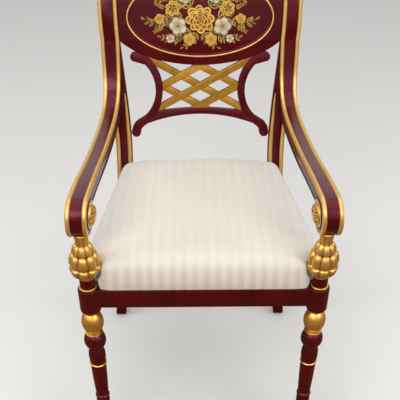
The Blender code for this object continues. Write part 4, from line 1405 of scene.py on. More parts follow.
    def bead_line(self, face: int) -> list[Vector]:
        """Centre line of an edge bead, from behind the volute round it, along the arm and up the stile.

        Args:
            face: -1 on the inner edge, 1 on the outer one.

        Returns:
            Its points in the chair.
        """
        inset = -face * self.bead_half
        points = []
        last = self.start_angle()
        for i in range(72):
            place = self.volute_point(lerp(last, 90, i / 72), self.volute_radius - self.bead_sink)
            points.append(self.at(place.x, place.y, face, inset))
        line = self.top_line()
        for i, here in enumerate(line):
            along = (line[min(i + 1, len(line) - 1)] - line[max(i - 1, 0)]).normalized()
            place = here + self.bead_sink * Vector((along.y, -along.x))
            points.append(self.at(place.x, place.y, face, inset))
        plan = self.plan
        for i in range(1, 17):
            rise = lerp(plan.shoulder_rise, plan.roll_rise, i / 16)
            across = plan.stile_x(rise) + face * (plan.stile_half(rise) - self.bead_half)
            points.append(plan.on_back(self.side.value * across, rise, -self.bead_sink))
        across = plan.stile_x(plan.roll_rise) + face * (plan.stile_half(plan.roll_rise) - self.bead_half)
        inner = plan.roll_radius - self.bead_sink
        for i in range(1, 13):
            turn = math.radians(150 * i / 12)
            back = plan.roll_radius - inner * math.cos(turn)
            rise = plan.roll_rise + inner * math.sin(turn)
            points.append(plan.on_back(self.side.value * across, rise, -back))
        return points

    def lining(self) -> list[Vector]:
        """Side view of the dark line of painted shade.

        Returns:
            Its points: along the lower edge, over the eye and round to its foot.
        """
        under = self.under_line()
        line = [point + Vector((0, 0.0010)) for point in under[::-1]]
        first = self.start_angle() - 360
        for i in range(1, 61):
            angle = lerp(first, 288, i / 60)
            radius = lerp(self.volute_radius, 0.0280, ease((angle - first) / 62))
            line.append(self.volute_point(angle, radius))
        return line

    def eye_outline(self) -> list[Vector]:
        """Side view of the gilded eye.

        Returns:
            Its outline: inside the dark line, and out to the rim at the rear.
        """
        first = self.start_angle() - 360
        points = []
        for i in range(61):
            angle = lerp(first + 6, 282, i / 60)
            points.append(self.volute_point(angle, lerp(0.0375, 0.0268, ease((angle - first) / 62))))
        for i in range(1, 31):
            angle = lerp(282, 360 + first + 2, i / 30)
            points.append(self.volute_point(angle, lerp(0.0268, 0.0378, ease((angle - 282) / 34))))
        return points

    def build_trim(self) -> None:
        """Lays the edge beads, the dark lines of painted shade and the gilded eyes."""
        word = self.side.word
        for face, edge in ((-1, "inner"), (1, "outer")):
            bead = Bench.tube(f"{word}_{edge}_edge_bead", self.bead_line(face), self.bead_radius, rounds=5)
            Bench.done(bead, self.finishes.burnished, Slot.GILT)
            # A dark tube of painted shade along the lower edge and round the eye.
            path = [self.at(p.x, p.y, face, -face * 0.0004) for p in self.lining()]
            line = Bench.tube(f"{word}_{edge}_dark_line", path, 0.0019, rounds=3, tip=8)
            Bench.done(line, self.finishes.lining, Slot.MAROON)
            eye = Bench.board(f"{word}_{edge}_eye", self.eye_outline(), 0.0026, 0.0010)
            Bench.placed(eye, lambda p, face=face: self.at(p.x, p.y, face, face * (p.z - 0.0001)))
            Bench.done(eye, self.finishes.eye_gold, Slot.GILT)

    def rosette_petals(self, name: str, height: float) -> Piece:
        """Carves a rosette's rim, its two rows of petals and the bead in its middle.

        Args:
            name: The piece's name.
            height: How far it stands out.

        Returns:
            The carving, facing up on the floor's plane.
        """
        r = self.rosette_radius
        rim = [(r, 0.0), (r, 0.45), (0.975 * r, 0.62), (0.92 * r, 0.70), (0.865 * r, 0.62), (0.84 * r, 0.45)]
        rim += [(0.84 * r, 0.0), (r, 0.0)]
        pieces = [Bench.turned(name, [(radius, share * height) for radius, share in rim[::-1]], 48)]
        bpy.ops.object.select_all(action="DESELECT")
        bpy.ops.mesh.primitive_uv_sphere_add(segments=16, ring_count=10, radius=1.0)
        petal = Bench.named(f"{name}_petal")
        with Bench.editing(petal):
            bpy.ops.transform.resize(value=(0.215 * r, 0.175 * r, 0.34 * height))
        for vertex in petal.data.vertices:
            vertex.co.y *= 1 + 0.38 * vertex.co.x / (0.215 * r)
            vertex.co.z -= 0.10 * height * max(0.0, 1 - abs(vertex.co.y) / (0.05 * r))
        for count, out, scale, up in ((8, 0.595, 1.0, 0.42), (6, 0.285, 0.66, 0.56)):
            for i in range(count):
                copy = Bench.copied(petal, f"{name}_petal_{count}_{i}")
                copy.data.transform(Matrix.Diagonal((scale, scale, 1.0, 1.0)))
                copy.data.transform(Matrix.Translation((out * r, 0, up * height)))
                copy.data.transform(Matrix.Rotation(math.tau * (i + 0.5) / count, 4, "Z"))
                pieces.append(copy)
        Bench.scrapped(petal)
        bead = Lathe.swelling(0.98 * height, 0.7 * height, 0.0002, 0.135 * r, 0.10 * r)
        pieces.append(Bench.turned(f"{name}_bead", Lathe.solid(bead), 24))
        return Bench.joined(name, pieces)

    def build_rosettes(self) -> None:
        """Sets a rosette on each side of the volute: a dark dish under the petals, as painted shade between
        them, and the carving turned to the front.
        """
        for face, edge, height, tilt in ((-1, "inner", 0.0056, 0.15), (1, "outer", 0.0042, 0.0)):

            def seat(p: Vector, face: int = face, tilt: float = tilt) -> Vector:
                """Place of a point of the rosette.

                Args:
                    p: The point as carved, facing up.
                    face: -1 on the inner side, 1 on the outer one.
                    tilt: How steeply the carving turns to the front.

                Returns:
                    The place in the chair.
                """
                depth, tall = self.volute_depth + p.x, self.volute_height + p.y
                turned = tilt * (p.x + self.rosette_radius) if p.z > 1e-6 else 0.0
                return self.at(depth, tall, face, face * (p.z + turned + 0.0004))

            name = f"{self.side.word}_{edge}"
            r = self.rosette_radius
            profile = Lathe.solid([(0.86 * r, 0.34 * height), (0.88 * r, 0.0)])
            dish = Bench.placed(Bench.turned(f"{name}_rosette_dish", profile, 48), seat)
            Bench.done(dish, self.finishes.dish, Slot.GILT)
            carving = Bench.placed(self.rosette_petals(f"{name}_carved_rosette", height), seat)
            Bench.done(carving, self.finishes.gilding, Slot.GILT, [f"{name}_rosette"])

    def build(self) -> None:
        """Builds the arm, its trim and its rosettes."""
        self.build_body()
        self.build_trim()
        self.build_rosettes()


@dataclass(frozen=True)
class Back:
    """The rear legs with their stiles, the crest tablet, and the hourglass splat with its lattice."""

    plan: Plan
    finishes: Finishes
    crest_rise: float = 0.408
    crest_half_height: float = 0.1114
    crest_half_width: float = 0.2220
    crest_thickness: float = 0.020
    crest_setback: float = 0.004
    oval_rise: float = 0.4108
    oval_half_width: float = 0.1764
    oval_half_height: float = 0.0930

    def crest_edge(self, x: float) -> float:
        """Half the oval's height at a distance from the middle."""
        return self.crest_half_height * math.sqrt(max(0.0, 1 - (x / self.crest_half_width) ** 2))

    def crest_outline(self) -> list[tuple[float, float]]:
        """Outline of the tablet: the oval's lower and upper arcs between the stiles.

        Returns:
            Place across and rise of each point.
        """

        def reach(rise: float) -> float:
            """Distance of a stile's inner face from the chair's middle."""
            return self.plan.stile_x(rise) - self.plan.stile_half(rise) - self.plan.fit_gap

        low = high = self.crest_rise
        for _ in range(20):
            low = self.crest_rise - self.crest_edge(reach(low))
            high = self.crest_rise + self.crest_edge(reach(high))
        points = []
        for i in range(61):
            x = reach(low) * math.sin(math.pi / 2 * (2 * i / 60 - 1))
            points.append((x, self.crest_rise - self.crest_edge(x)))
        points += [(reach(lerp(low, high, i / 8)), lerp(low, high, i / 8)) for i in range(1, 8)]
        for i in range(61):
            x = reach(high) * math.sin(math.pi / 2 * (1 - 2 * i / 60))
            points.append((x, self.crest_rise + self.crest_edge(x)))
        points += [(-reach(lerp(high, low, i / 8)), lerp(high, low, i / 8)) for i in range(1, 8)]
        return points

    def oval(self, inset: float, height: float) -> list[Vector]:
        """Points of an oval on the tablet.

        Args:
            inset: How far inside the gilded one it lies.
            height: How far in front of the tablet's face.

        Returns:
            The points in the chair.
        """
        points = []
        for i in range(144):
            turn = math.tau * i / 144
            x = (self.oval_half_width - inset) * math.cos(turn)
            rise = self.oval_rise + (self.oval_half_height - inset) * math.sin(turn)
            points.append(self.plan.on_back(x, rise, height - self.crest_setback))
        return points

    def build_crest(self) -> None:
        """Saws the tablet and lays its gilded oval and the lacquered ridge inside that."""
        crest = Bench.board("crest_board", self.crest_outline(), self.crest_thickness, 0.0028)
        middle = self.crest_setback + self.crest_thickness / 2
        Bench.placed(crest, lambda p: self.plan.on_back(p.x, p.y, p.z - middle))
        Bench.done(crest, self.finishes.lacquer, Slot.MAROON, ["crest_tablet"], SAWN_EDGE)
        line = Bench.tube("crest_gilt_oval", self.oval(0.0, -0.0008), 0.0021, True)
        Bench.done(line, self.finishes.burnished, Slot.GILT)
        ridge = Bench.tube("crest_ridge", self.oval(0.0048, -0.0012), 0.0024, True)
        Bench.done(ridge, self.finishes.lacquer, Slot.MAROON)

    def build_stiles(self) -> None:
        """Rounds the rear legs and lays the beads on the front of the lower stiles."""
        plan = self.plan
        for side in Side:
            leg = Bench.softened(f"{side.word}_rear_leg", f"{side.word}_leg_and_stile", 0.0010)
            Bench.done(leg, self.finishes.lacquer, Slot.MAROON, [f"{side.word}_rear_leg"], SAWN_EDGE)
            for face, edge in ((-1, "inner"), (1, "outer")):
                points = []
                for i in range(37):
                    rise = lerp(0.006, 0.238, i / 36)
                    inset = 0.0059 - 0.0017 * ease((rise - 0.15) / 0.09)
                    across = plan.stile_x(rise) + face * (plan.stile_half(rise) - inset)
                    points.append(plan.on_back(side.value * across, rise, -plan.strip_depth - 0.0016))
                bead = Bench.tube(f"{side.word}_{edge}_stile_bead", points, 0.0050, rounds=5, tip=20)
                Bench.done(bead, self.finishes.burnished, Slot.GILT)

    def build_splat(self) -> None:
        """Rounds the splat's uprights and rail, and the gilded bars between them."""
        for side in Side:
            node = f"{side.word}_splat_upright"
            upright = Bench.softened(node, f"{side.word}_upright_board", 0.0024, 3)
            Bench.done(upright, self.finishes.lacquer, Slot.MAROON, [node], ROUNDED_EDGE)
        rail = Bench.softened("splat_lower_rail", "splat_rail_board", 0.0024, 3)
        Bench.done(rail, self.finishes.lacquer, Slot.MAROON, ["splat_lower_rail"], ROUNDED_EDGE)
        for family in ("rising", "falling"):
            for place in ("lower", "middle", "upper"):
                node = f"lattice_{family}_bar_{place}"
                bar = Bench.softened(node, f"{family}_{place}_lattice_bar", 0.0008)
                Bench.done(bar, self.finishes.lattice_gold, Slot.GILT, [node], ROUNDED_EDGE)

    def build(self) -> None:
        """Builds the back."""
        self.build_stiles()
        self.build_crest()
        self.build_splat()


class Pigment(Enum):
    """Colours of the tablet's painting."""

    GOLD = (0.640, 0.330, 0.040)
    OCHRE = (0.330, 0.145, 0.018)
    UMBER = (0.070, 0.020, 0.006)
    PEARL = (0.840, 0.780, 0.640)
    LINEN = (0.460, 0.370, 0.230)
    STRAW = (0.780, 0.480, 0.085)
    MOSS = (0.075, 0.095, 0.016)
    SAGE = (0.170, 0.180, 0.045)
    SHADE = (0.020, 0.022, 0.008)


@dataclass(frozen=True)
class Blossom:
    """One painted blossom: its place on the tablet, size, petals and colours."""

    x: float
    rise: float
    size: float
    petals: int
    rim: Pigment
    root: Pigment
    tip: Pigment
    rows: int = 1


@dataclass
class FloralSpray:
    """A garland painted on the tablet: an open blossom with five-petalled ones, laurel and ears of grain."""

    back: Back
    finishes: Finishes

    def __post_init__(self) -> None:
        """Starts with no strokes and a fixed hand."""
        self.strokes: list[Piece] = []
        self.hand = random.Random(11)

    def pattern(self, name: str, width: float, root: float, tip: float, depth: float) -> Piece:
        """Models one stroke of the brush, a unit long from the origin along Y.

        Args:
            name: The pattern's name.
            width: Its width.
            root: How pointed its root is, from 0 to 1.
            tip: How pointed its tip is, from 0 to 1.
            depth: How far its middle is raised.

        Returns:
            The pattern, with a raised middle inside a rim.
        """
        bpy.ops.object.select_all(action="DESELECT")
        bpy.ops.mesh.primitive_circle_add(vertices=18, radius=0.5, fill_type="NGON", location=(0, 0.5, 0))
        stroke = Bench.named(name)
        Bench.take(stroke)
        bpy.ops.object.transform_apply(location=True, rotation=True, scale=True)
        with Bench.editing(stroke):
            bpy.ops.transform.resize(value=(width, 1, 1), center_override=(0, 0.5, 0))
        for vertex in stroke.data.vertices:
            share = vertex.co.y
            vertex.co.x *= 1 - root * max(0.0, 1 - 2 * share) ** 1.5 - tip * max(0.0, 2 * share - 1) ** 1.5
        with Bench.editing(stroke):
            bpy.ops.mesh.inset(thickness=0.15 * width, depth=depth)
            bpy.ops.mesh.poke()
        return stroke

    def lay(self, pattern: Piece, place: Matrix, rim: Pigment, root: Pigment, tip: Pigment) -> None:
        """Lays one stroke: copies a pattern, colours it and puts it in its place.

        Args:
            pattern: The pattern.
            place: Its place on the tablet.
            rim: Colour of its edge.
            root: Colour of its middle at the root.
            tip: Colour of its middle at the tip.
        """
        stroke = Bench.copied(pattern, f"stroke_{len(self.strokes)}")
        mesh = stroke.data
        paint = mesh.color_attributes.new(TabletPaint.attribute, "FLOAT_COLOR", "CORNER")
        tone = self.hand.uniform(0.85, 1.12)
        for face in mesh.polygons:
            raised = all(mesh.vertices[i].co.z > 1e-9 for i in face.vertices)
            for loop in face.loop_indices:
                share = min(max(mesh.vertices[mesh.loops[loop].vertex_index].co.y, 0.0), 1.0)
                mixed = [lerp(a, b, share) for a, b in zip(root.value, tip.value)]
                colour = mixed if raised else rim.value
                paint.data[loop].color = (*(tone * part for part in colour), 1.0)
        mesh.transform(place)
        self.strokes.append(stroke)

    @staticmethod
    def spot(x: float, rise: float, height: float, angle: float, length: float, breadth: float) -> Matrix:
        """Place of a stroke.

        Args:
            x: Across the tablet.
            rise: Up the tablet from the oval's middle.
            height: Above the tablet's face.
            angle: Direction that it points in, in degrees from +X.
            length: Its length.
            breadth: Scale of its width and relief.

        Returns:
            The place as a matrix.
        """
        turn = Matrix.Rotation(math.radians(angle - 90), 4, "Z")
        return Matrix.Translation((x, rise, height)) @ turn @ Matrix.Diagonal((breadth, length, breadth, 1.0))

    def paint_blossom(self, petal: Piece, dot: Piece, flower: Blossom) -> None:
        """Paints one blossom from its outer row of petals inwards.

        Args:
            petal: Pattern of a petal.
            dot: Pattern of a dot.
            flower: The blossom.
        """
        start = self.hand.uniform(0, 360)
        for row in range(flower.rows):
            share = 1 - 0.20 * row
            length = flower.size * share
            count = flower.petals - row
            for i in range(count):
                angle = start + 360 * (i + 0.5 * row) / count + self.hand.uniform(-4, 4)
                stretch = length * self.hand.uniform(0.93, 1.07)
                height = 0.0006 + 0.0004 * row + 0.00009 * (i % 3)
                breadth = stretch * 2.4 * math.sin(math.pi / count)
                place = self.spot(flower.x, flower.rise, height, angle, stretch, breadth)
                self.lay(petal, place, flower.rim, flower.root, flower.tip)
        heart = flower.size * (0.34 if flower.rows == 1 else 0.22)
        low, top = flower.rise - heart / 2, 0.0008 + 0.0004 * flower.rows
        place = self.spot(flower.x, low, top, 90, heart, heart)
        self.lay(dot, place, Pigment.UMBER, Pigment.OCHRE, Pigment.GOLD)
        for i in range(7):
            turn = math.tau * i / 7
            x = flower.x + 0.62 * heart * math.cos(turn)
            rise = flower.rise + 0.62 * heart * math.sin(turn)
            place = self.spot(x, rise, top, 90, 0.24 * heart, 0.24 * heart)
            self.lay(dot, place, Pigment.STRAW, Pigment.STRAW, Pigment.PEARL)

    def paint_branch(
        self, leaf: Piece, line: Sequence[Vector], longest: float, shortest: float, pairs: int
    ) -> None:
        """Paints a stem with pairs of laurel leaves along it, and one at its end.

        Args:
            leaf: Pattern of a leaf.
            line: Control points of the stem.
            longest: Length of the first leaves.
            shortest: Length of the last ones.
            pairs: How many pairs there are.
        """
        stem = bezier(line, 40)
        for i in range(0, 40, 2):
            step = stem[i + 2] - stem[i]
            angle = math.degrees(math.atan2(step.y, step.x))
            place = self.spot(stem[i].x, stem[i].y, 0.0001, angle, 1.25 * step.length, 0.0030)
            self.lay(leaf, place, Pigment.SAGE, Pigment.MOSS, Pigment.MOSS)
        for i in range(pairs + 1):
            share = i / pairs
            at = min(int(lerp(5, 40, share)), 39)
            step = stem[at + 1] - stem[at]
            angle = math.degrees(math.atan2(step.y, step.x))
            length = lerp(longest, shortest, share)
            for way in ((-1, 1) if i < pairs else (0,)):
                turn = angle + way * self.hand.uniform(36, 52)
                size = length * self.hand.uniform(0.85, 1.1)
                height = 0.00016 + 0.00005 * (i % 3)
                place = self.spot(stem[at].x, stem[at].y, height, turn, size, size * 0.95)
                rim = Pigment.STRAW if (i + way) % 3 else Pigment.SAGE
                self.lay(leaf, place, rim, Pigment.SHADE, Pigment.SAGE)

    def paint_ear(self, leaf: Piece, x: float, rise: float, angle: float) -> None:
        """Paints an ear of grain from its foot.

        Args:
            leaf: Pattern of a grain.
            x: Foot of the ear across the tablet.
            rise: Foot of the ear up the tablet.
            angle: Direction that it points in, in degrees.
        """
        turn = math.radians(angle)
        for i in range(6):
            foot_x, foot_rise = x + 0.0046 * i * math.cos(turn), rise + 0.0046 * i * math.sin(turn)
            size = lerp(0.0092, 0.0062, i / 5)
            for way in (-1, 1):
                place = self.spot(foot_x, foot_rise, 0.0003, angle + 40 * way, size, 0.75 * size)
                self.lay(leaf, place, Pigment.STRAW, Pigment.OCHRE, Pigment.GOLD)

    def paint(self) -> None:
        """Paints the whole garland, leaves first and blossoms over them."""
        petal = self.pattern("petal_pattern", 0.72, 0.55, 0.0, 0.008)
        leaf = self.pattern("leaf_pattern", 0.42, 0.80, 1.0, 0.012)
        dot = self.pattern("dot_pattern", 1.0, 0.0, 0.0, 0.04)
        for way in (-1, 1):
            branches = (
                (((0.030, -0.008), (0.065, 0.016), (0.100, -0.030), (0.136, -0.004)), 0.027, 0.014, 8),
                (((0.014, -0.022), (0.040, -0.044), (0.066, -0.058), (0.096, -0.046)), 0.024, 0.012, 7),
                (((0.012, 0.012), (0.038, 0.050), (0.070, 0.060), (0.104, 0.040)), 0.027, 0.013, 8),
                (((0.006, -0.030), (0.014, -0.050), (0.024, -0.064), (0.042, -0.071)), 0.019, 0.010, 4),
            )
            for points, longest, shortest, pairs in branches:
                line = [Vector((way * x, rise)) for x, rise in points]
                self.paint_branch(leaf, line, longest, shortest, pairs)
            for x, rise, angle in ((0.090, -0.022, -30), (0.086, 0.022, 28)):
                self.paint_ear(leaf, way * x, rise, angle if way > 0 else 180 - angle)
        gold = (Pigment.STRAW, Pigment.UMBER, Pigment.OCHRE)
        bright = (Pigment.GOLD, Pigment.OCHRE, Pigment.STRAW)
        cream = (Pigment.LINEN, Pigment.OCHRE, Pigment.PEARL)
        flowers = []
        for way in (-1, 1):
            flowers += [
                Blossom(way * 0.066, 0.022, 0.0190, 7, *gold, 3),
                Blossom(way * 0.026, -0.052, 0.0150, 6, *bright, 2),
                Blossom(way * 0.054, -0.020, 0.0215, 5, *cream),
                Blossom(way * 0.036, 0.048, 0.0160, 5, *cream),
                Blossom(way * 0.098, -0.003, 0.0125, 5, *bright),
                Blossom(way * 0.072, -0.050, 0.0100, 5, *cream),
            ]
        flowers.append(Blossom(0.0, 0.058, 0.0175, 6, *bright, 2))
        flowers.append(Blossom(0.0, -0.004, 0.0350, 8, *gold, 5))
        for flower in flowers:
            self.paint_blossom(petal, dot, flower)
        Bench.scrapped(petal, leaf, dot)

    def build(self) -> None:
        """Paints the garland and lays it on the tablet."""
        self.paint()
        spray = Bench.joined("crest_painted_garland", self.strokes)
        Bench.modified(spray, "SOLIDIFY", thickness=0.0004, offset=-1.0)
        back = self.back
        for vertex in spray.data.vertices:
            p = vertex.co
            vertex.co = back.plan.on_back(p.x, back.oval_rise + p.y, p.z - back.crest_setback + 0.0001)
        Bench.done(spray, self.finishes.paint, Slot.GILT)


@dataclass(frozen=True)
class SeatFrame:
    """Rails, corner blocks, fixings, the board under the cushion and the cloth under the board."""

    finishes: Finishes
    sag: float = 0.004
    cloth_top: float = 0.4335

    def build_rails(self) -> None:
        """Rounds the four rails, the corner blocks behind them and the board that they carry."""
        for place in ("front", "rear", "left", "right"):
            rail = Bench.softened(f"{place}_rail", f"{place}_seat_rail", 0.0016, 3)
            Bench.done(rail, self.finishes.lacquer, Slot.MAROON, [f"{place}_rail"], ROUNDED_EDGE)
        for end in ("front", "rear"):
            for side in Side:
                node = f"{end}_{side.word}_block"
                block = Bench.softened(node, f"{end}_{side.word}_corner_block", 0.0012)
                Bench.done(block, self.finishes.beech, Slot.BEECH, [node], ROUNDED_EDGE)
        board = Bench.softened("seat_board", "seat_panel", 0.0012)
        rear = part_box("seat_board")[1][1]
        Bench.placed(board, lambda p: (0.972 * p.x, rear + 0.985 * (p.y - rear), p.z))
        Bench.done(board, self.finishes.plywood, Slot.PLYWOOD, ["seat_board"], ROUNDED_EDGE)

    def dress_fixings(self) -> None:
        """Gives the dowels, screws and glides their finishes."""
        sides = [side.word for side in Side]
        corners = [f"{end}_{side}" for end in ("front", "rear") for side in sides]
        dowels = [f"{side}_{kind}_dowel" for side in sides for kind in ("ear", "foot")]
        Bench.dressed(dowels, self.finishes.beech)
        steel = [f"{corner}_seat_screw" for corner in corners] + [f"{side}_arm_screw" for side in sides]
        steel += [f"{side}_{end}_glide" for end in ("front", "rear") for side in sides]
        Bench.dressed(steel, self.finishes.steel)

    @staticmethod
    def cloth_plan() -> list[Vector]:
        """Plan outline of the cloth under the seat.

        Returns:
            Its corners, in order round its middle.
        """
        corners = {(round(v.co.x, 5), round(v.co.y, 5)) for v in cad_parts["dust_cover"].data.vertices}
        points = [Vector(corner) for corner in corners]
        middle = sum(points, Vector((0, 0))) / len(points)
        return sorted(points, key=lambda point: math.atan2(point.y - middle.y, point.x - middle.x))

    def build_cloth(self) -> None:
        """Cuts the cloth under the seat board, tacks its edge and lets its middle hang a little."""
        outline = self.cloth_plan()
        middle = sum(outline, Vector((0, 0))) / len(outline)
        width = max(p.x for p in outline) - min(p.x for p in outline)
        length = max(p.y for p in outline) - min(p.y for p in outline)
        bpy.ops.object.select_all(action="DESELECT")
        bpy.ops.mesh.primitive_grid_add(x_subdivisions=30, y_subdivisions=30, size=1.2 * max(width, length))
        cloth = Bench.named("dust_cloth_sheet")
        cloth.data.transform(Matrix.Translation((middle.x, middle.y, self.cloth_top)))
        edges = list(zip(outline, outline[1:] + outline[:1]))
        for start, end in edges:
            with Bench.editing(cloth):
                bpy.ops.mesh.bisect(
                    plane_co=(start.x, start.y, self.cloth_top),
                    plane_no=(end.y - start.y, start.x - end.x, 0),
                    clear_outer=True,
                )
        for vertex in cloth.data.vertices:
            place = Vector((vertex.co.x, vertex.co.y))
            reach = min((end - start).normalized().cross(place - start) for start, end in edges)
            vertex.co.z -= self.sag * ease(min(max(reach / (0.35 * width), 0.0), 1.0))
        Bench.closed(cloth)
        Bench.modified(cloth, "SOLIDIFY", thickness=0.0006, offset=0.0)
        Bench.done(cloth, self.finishes.dust_cloth, Slot.DUST_CLOTH, ["dust_cover"])

    def build(self) -> None:
        """Builds the rails and blocks, cuts the cloth and dresses the fixings."""
        self.build_rails()
        self.build_cloth()
        self.dress_fixings()


@dataclass(frozen=True)
class Cushion:
    """The stuffed seat under striped satin, notched round the front posts."""

    plan: Plan
    finishes: Finishes
    foot: float = 0.4346
    voxel: float = 0.0054
    pressure: float = 4.0
    most_swell: float = 0.0030
    front_half: float = 0.2585
    back_half: float = 0.2005
    length: float = 0.458
    middle_y: float = -0.057
    fill: float = 0.88

    def block(self) -> Piece:
        """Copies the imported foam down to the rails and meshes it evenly.

        Returns:
            The block, a little smaller than the finished seat.
        """
        cushion = Bench.copied(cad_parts["seat_foam"], "seat_cushion")
        Bench.closed(cushion)
        low = min(vertex.co.z for vertex in cushion.data.vertices)
        for vertex in cushion.data.vertices:
            if vertex.co.z < low + 1e-4:
                depth = vertex.co.y - self.middle_y
                vertex.co = (1.012 * vertex.co.x, self.middle_y + 1.012 * depth, self.foot - 0.010)
        Bench.modified(cushion, "REMESH", mode="VOXEL", voxel_size=self.voxel)
        loose = cushion.vertex_groups.new(name="loose")
        for vertex in cushion.data.vertices:
            share = 0.06 + 0.94 * ease((vertex.co.z - self.foot) / 0.034)
            beside = ease((self.across(vertex.co) - 0.72) / 0.2) * ease((vertex.co.y + 0.235) / 0.05)
            loose.add([vertex.index], share * (1 - 0.62 * beside), "REPLACE")
        Bench.modified(cushion, "SMOOTH", factor=0.5, iterations=30, vertex_group=loose.name)
        cushion.vertex_groups.clear()
        normals = [vertex.normal.copy() for vertex in cushion.data.vertices]
        for vertex, normal in zip(cushion.data.vertices, normals):
            push = lerp(0.0004, 0.0032, ease((vertex.co.z - self.foot) / 0.034))
            fuller = vertex.co + push * Vector((normal.x, normal.y, 0.0))
            vertex.co = self.tucked(self.crowned(self.drawn_back(fuller)))
        cushion.data.update()
        return cushion

    def drawn_back(self, point: Vector) -> Vector:
        """Draws the back of the seat over the rear rail, between the stiles.

        Args:
            point: A point of the seat.

        Returns:
            Its new place.
        """
        most = lerp(0.0165, 0.0095, ease((point.z - self.foot) / 0.030))
        reach = lerp(most, 0.0030, ease((abs(point.x) - 0.140) / 0.030))
        return Vector((point.x, point.y + reach * ease((point.y - 0.060) / 0.105), point.z))

    def across(self, point: Vector) -> float:
        """How far a point lies from the middle towards a side of the seat, from 0 to 1."""
        depth = min(max((point.y - self.plan.post_line_y) / self.length, 0.0), 1.0)
        return min(abs(point.x) / lerp(self.front_half, self.back_half, depth), 1.0)

    def from_post(self, point: Vector, side: Side) -> tuple[Vector, Vector]:
        """Axis of a post at a point's height, and the way from there to the point, both in plan."""
        axis = Vector((side.value * self.plan.post_x(point.z), self.plan.post_line_y))
        return axis, Vector((point.x, point.y)) - axis

    def tucked(self, point: Vector) -> Vector:
        """Draws the cover in round the posts, most of all under the carving.

        Args:
            point: A point of the seat.

        Returns:
            Its new place.
        """
        for side in Side:
            axis, away = self.from_post(point, side)
            level = lerp(0.60, 1.0, ease((point.z - self.foot) / 0.016))
            level *= lerp(1.0, 0.62, ease((point.z - 0.459) / 0.010)) * (1 - ease((point.z - 0.484) / 0.020))
            pull = 0.0122 * level * (1 - ease((away.length - 0.035) / 0.024))
            place = axis + away - pull * away.normalized()
            point = Vector((place.x, place.y, point.z))
        return point

    def crowned(self, point: Vector) -> Vector:
        """Raises the middle of the seat, most of all towards the back, where the stuffing is fullest.

        Args:
            point: A point of the seat.

        Returns:
            Its new place.
        """
        depth = min(max((point.y - self.plan.post_line_y) / self.length, 0.0), 1.0)
        most = 0.072 + 0.066 * ease((depth - 0.45) / 0.5) + 0.012 * ease((0.35 - depth) / 0.35)
        raised = max(point.z - self.foot, 0.0) * most * (1 - self.across(point) ** 3)
        return Vector((point.x, point.y, point.z + raised))

    def swollen(self, cushion: Piece) -> list[Vector]:
        """Blows the block up under its cover with the foot held down.

        Args:
            cushion: The block.

        Returns:
            Where its points come to rest.
        """
        held = cushion.vertex_groups.new(name="held")
        for vertex in cushion.data.vertices:
            held.add([vertex.index], 1 - ease((vertex.co.z - self.foot) / 0.050), "REPLACE")
        cloth = cushion.modifiers.new("cover", "CLOTH")
        cloth.settings.vertex_group_mass = held.name
        cloth.settings.quality = 6
        cloth.settings.mass = 0.25
        cloth.settings.use_pressure = True
        cloth.settings.uniform_pressure_force = self.pressure
        cloth.settings.effector_weights.gravity = 0
        cloth.collision_settings.use_collision = False
        scene = bpy.context.scene
        for moment in range(1, 21):
            scene.frame_set(moment)
        seen = cushion.evaluated_get(bpy.context.evaluated_depsgraph_get())
        rest = [vertex.co.copy() for vertex in seen.data.vertices]
        cushion.modifiers.remove(cloth)
        cushion.vertex_groups.clear()
        scene.frame_set(1)
        return rest

    def evened(self, cushion: Piece) -> None:
        """Evens the walls of the seat and rounds its front roll, both away from the posts.

        Args:
            cushion: The swollen seat.
        """
        wall = cushion.vertex_groups.new(name="wall")
        roll = cushion.vertex_groups.new(name="roll")
        for vertex in cushion.data.vertices:
            clear = min(self.from_post(vertex.co, side)[1].length for side in Side)
            away = ease((clear - 0.040) / 0.025)
            height = vertex.co.z
            share = ease((height - self.foot + 0.004) / 0.010) * (1 - ease((height - 0.480) / 0.016))
            wall.add([vertex.index], share * away, "REPLACE")
            share = ease((-0.200 - vertex.co.y) / 0.045) * ease((height - 0.450) / 0.020)
            roll.add([vertex.index], share * away, "REPLACE")
        for group, rounds in (("wall", 36), ("roll", 70)):
            Bench.modified(cushion, "SMOOTH", factor=0.5, iterations=rounds, vertex_group=group)
        cushion.vertex_groups.clear()

    def creased(self, point: Vector, normal: Vector) -> Vector:
        """Soft folds that run out from the notches where the cover is drawn round the posts.

        Args:
            point: A point of the cover.
            normal: Its direction outwards.

        Returns:
            The point, moved into its fold.
        """
        for side in Side:
            away = self.from_post(point, side)[1]
            turn = math.atan2(away.y, -side.value * away.x)
            near = 1 - ease((away.length - 0.033) / 0.075)
            point = point + 0.0005 * near * near * math.cos(7.0 * turn + 0.8) * normal
        return point

    def clear(self, point: Vector) -> Vector:
        """Keeps a point of the cover off the carved posts, the stiles behind and the rails below.

        Args:
            point: A point of the seat.

        Returns:
            Its new place.
        """
        for side in Side:
            axis, away = self.from_post(point, side)
            least = 0.0222 + 0.0084 * ease((point.z - 0.456) / 0.010)
            least += 0.0018 * ease((point.z - 0.468) / 0.016)
            if away.length < least:
                place = axis + least * away.normalized()
                point = Vector((place.x, place.y, point.z))
        return Vector((point.x, point.y, max(point.z, self.foot)))

    def build(self) -> None:
        """Stuffs the seat: block, swelling, folds, even walls and a finer mesh at the end."""
        cushion = self.block()
        start = [vertex.co.copy() for vertex in cushion.data.vertices]
        normals = [vertex.normal.copy() for vertex in cushion.data.vertices]
        rest = self.swollen(cushion)
        for vertex, old, new, normal in zip(cushion.data.vertices, start, rest, normals):
            step = new - old
            if step.length > self.most_swell:
                step = step * (self.most_swell / step.length)
            vertex.co = self.creased(old + step, normal)
        self.evened(cushion)
        for vertex in cushion.data.vertices:
            vertex.co = self.clear(vertex.co)
        cushion.data.update()
        Bench.modified(cushion, "SUBSURF", levels=1, render_levels=1)
        Bench.done(cushion, self.finishes.satin, Slot.SATIN, ["seat_cover", "seat_foam"], ALL_SMOOTH)


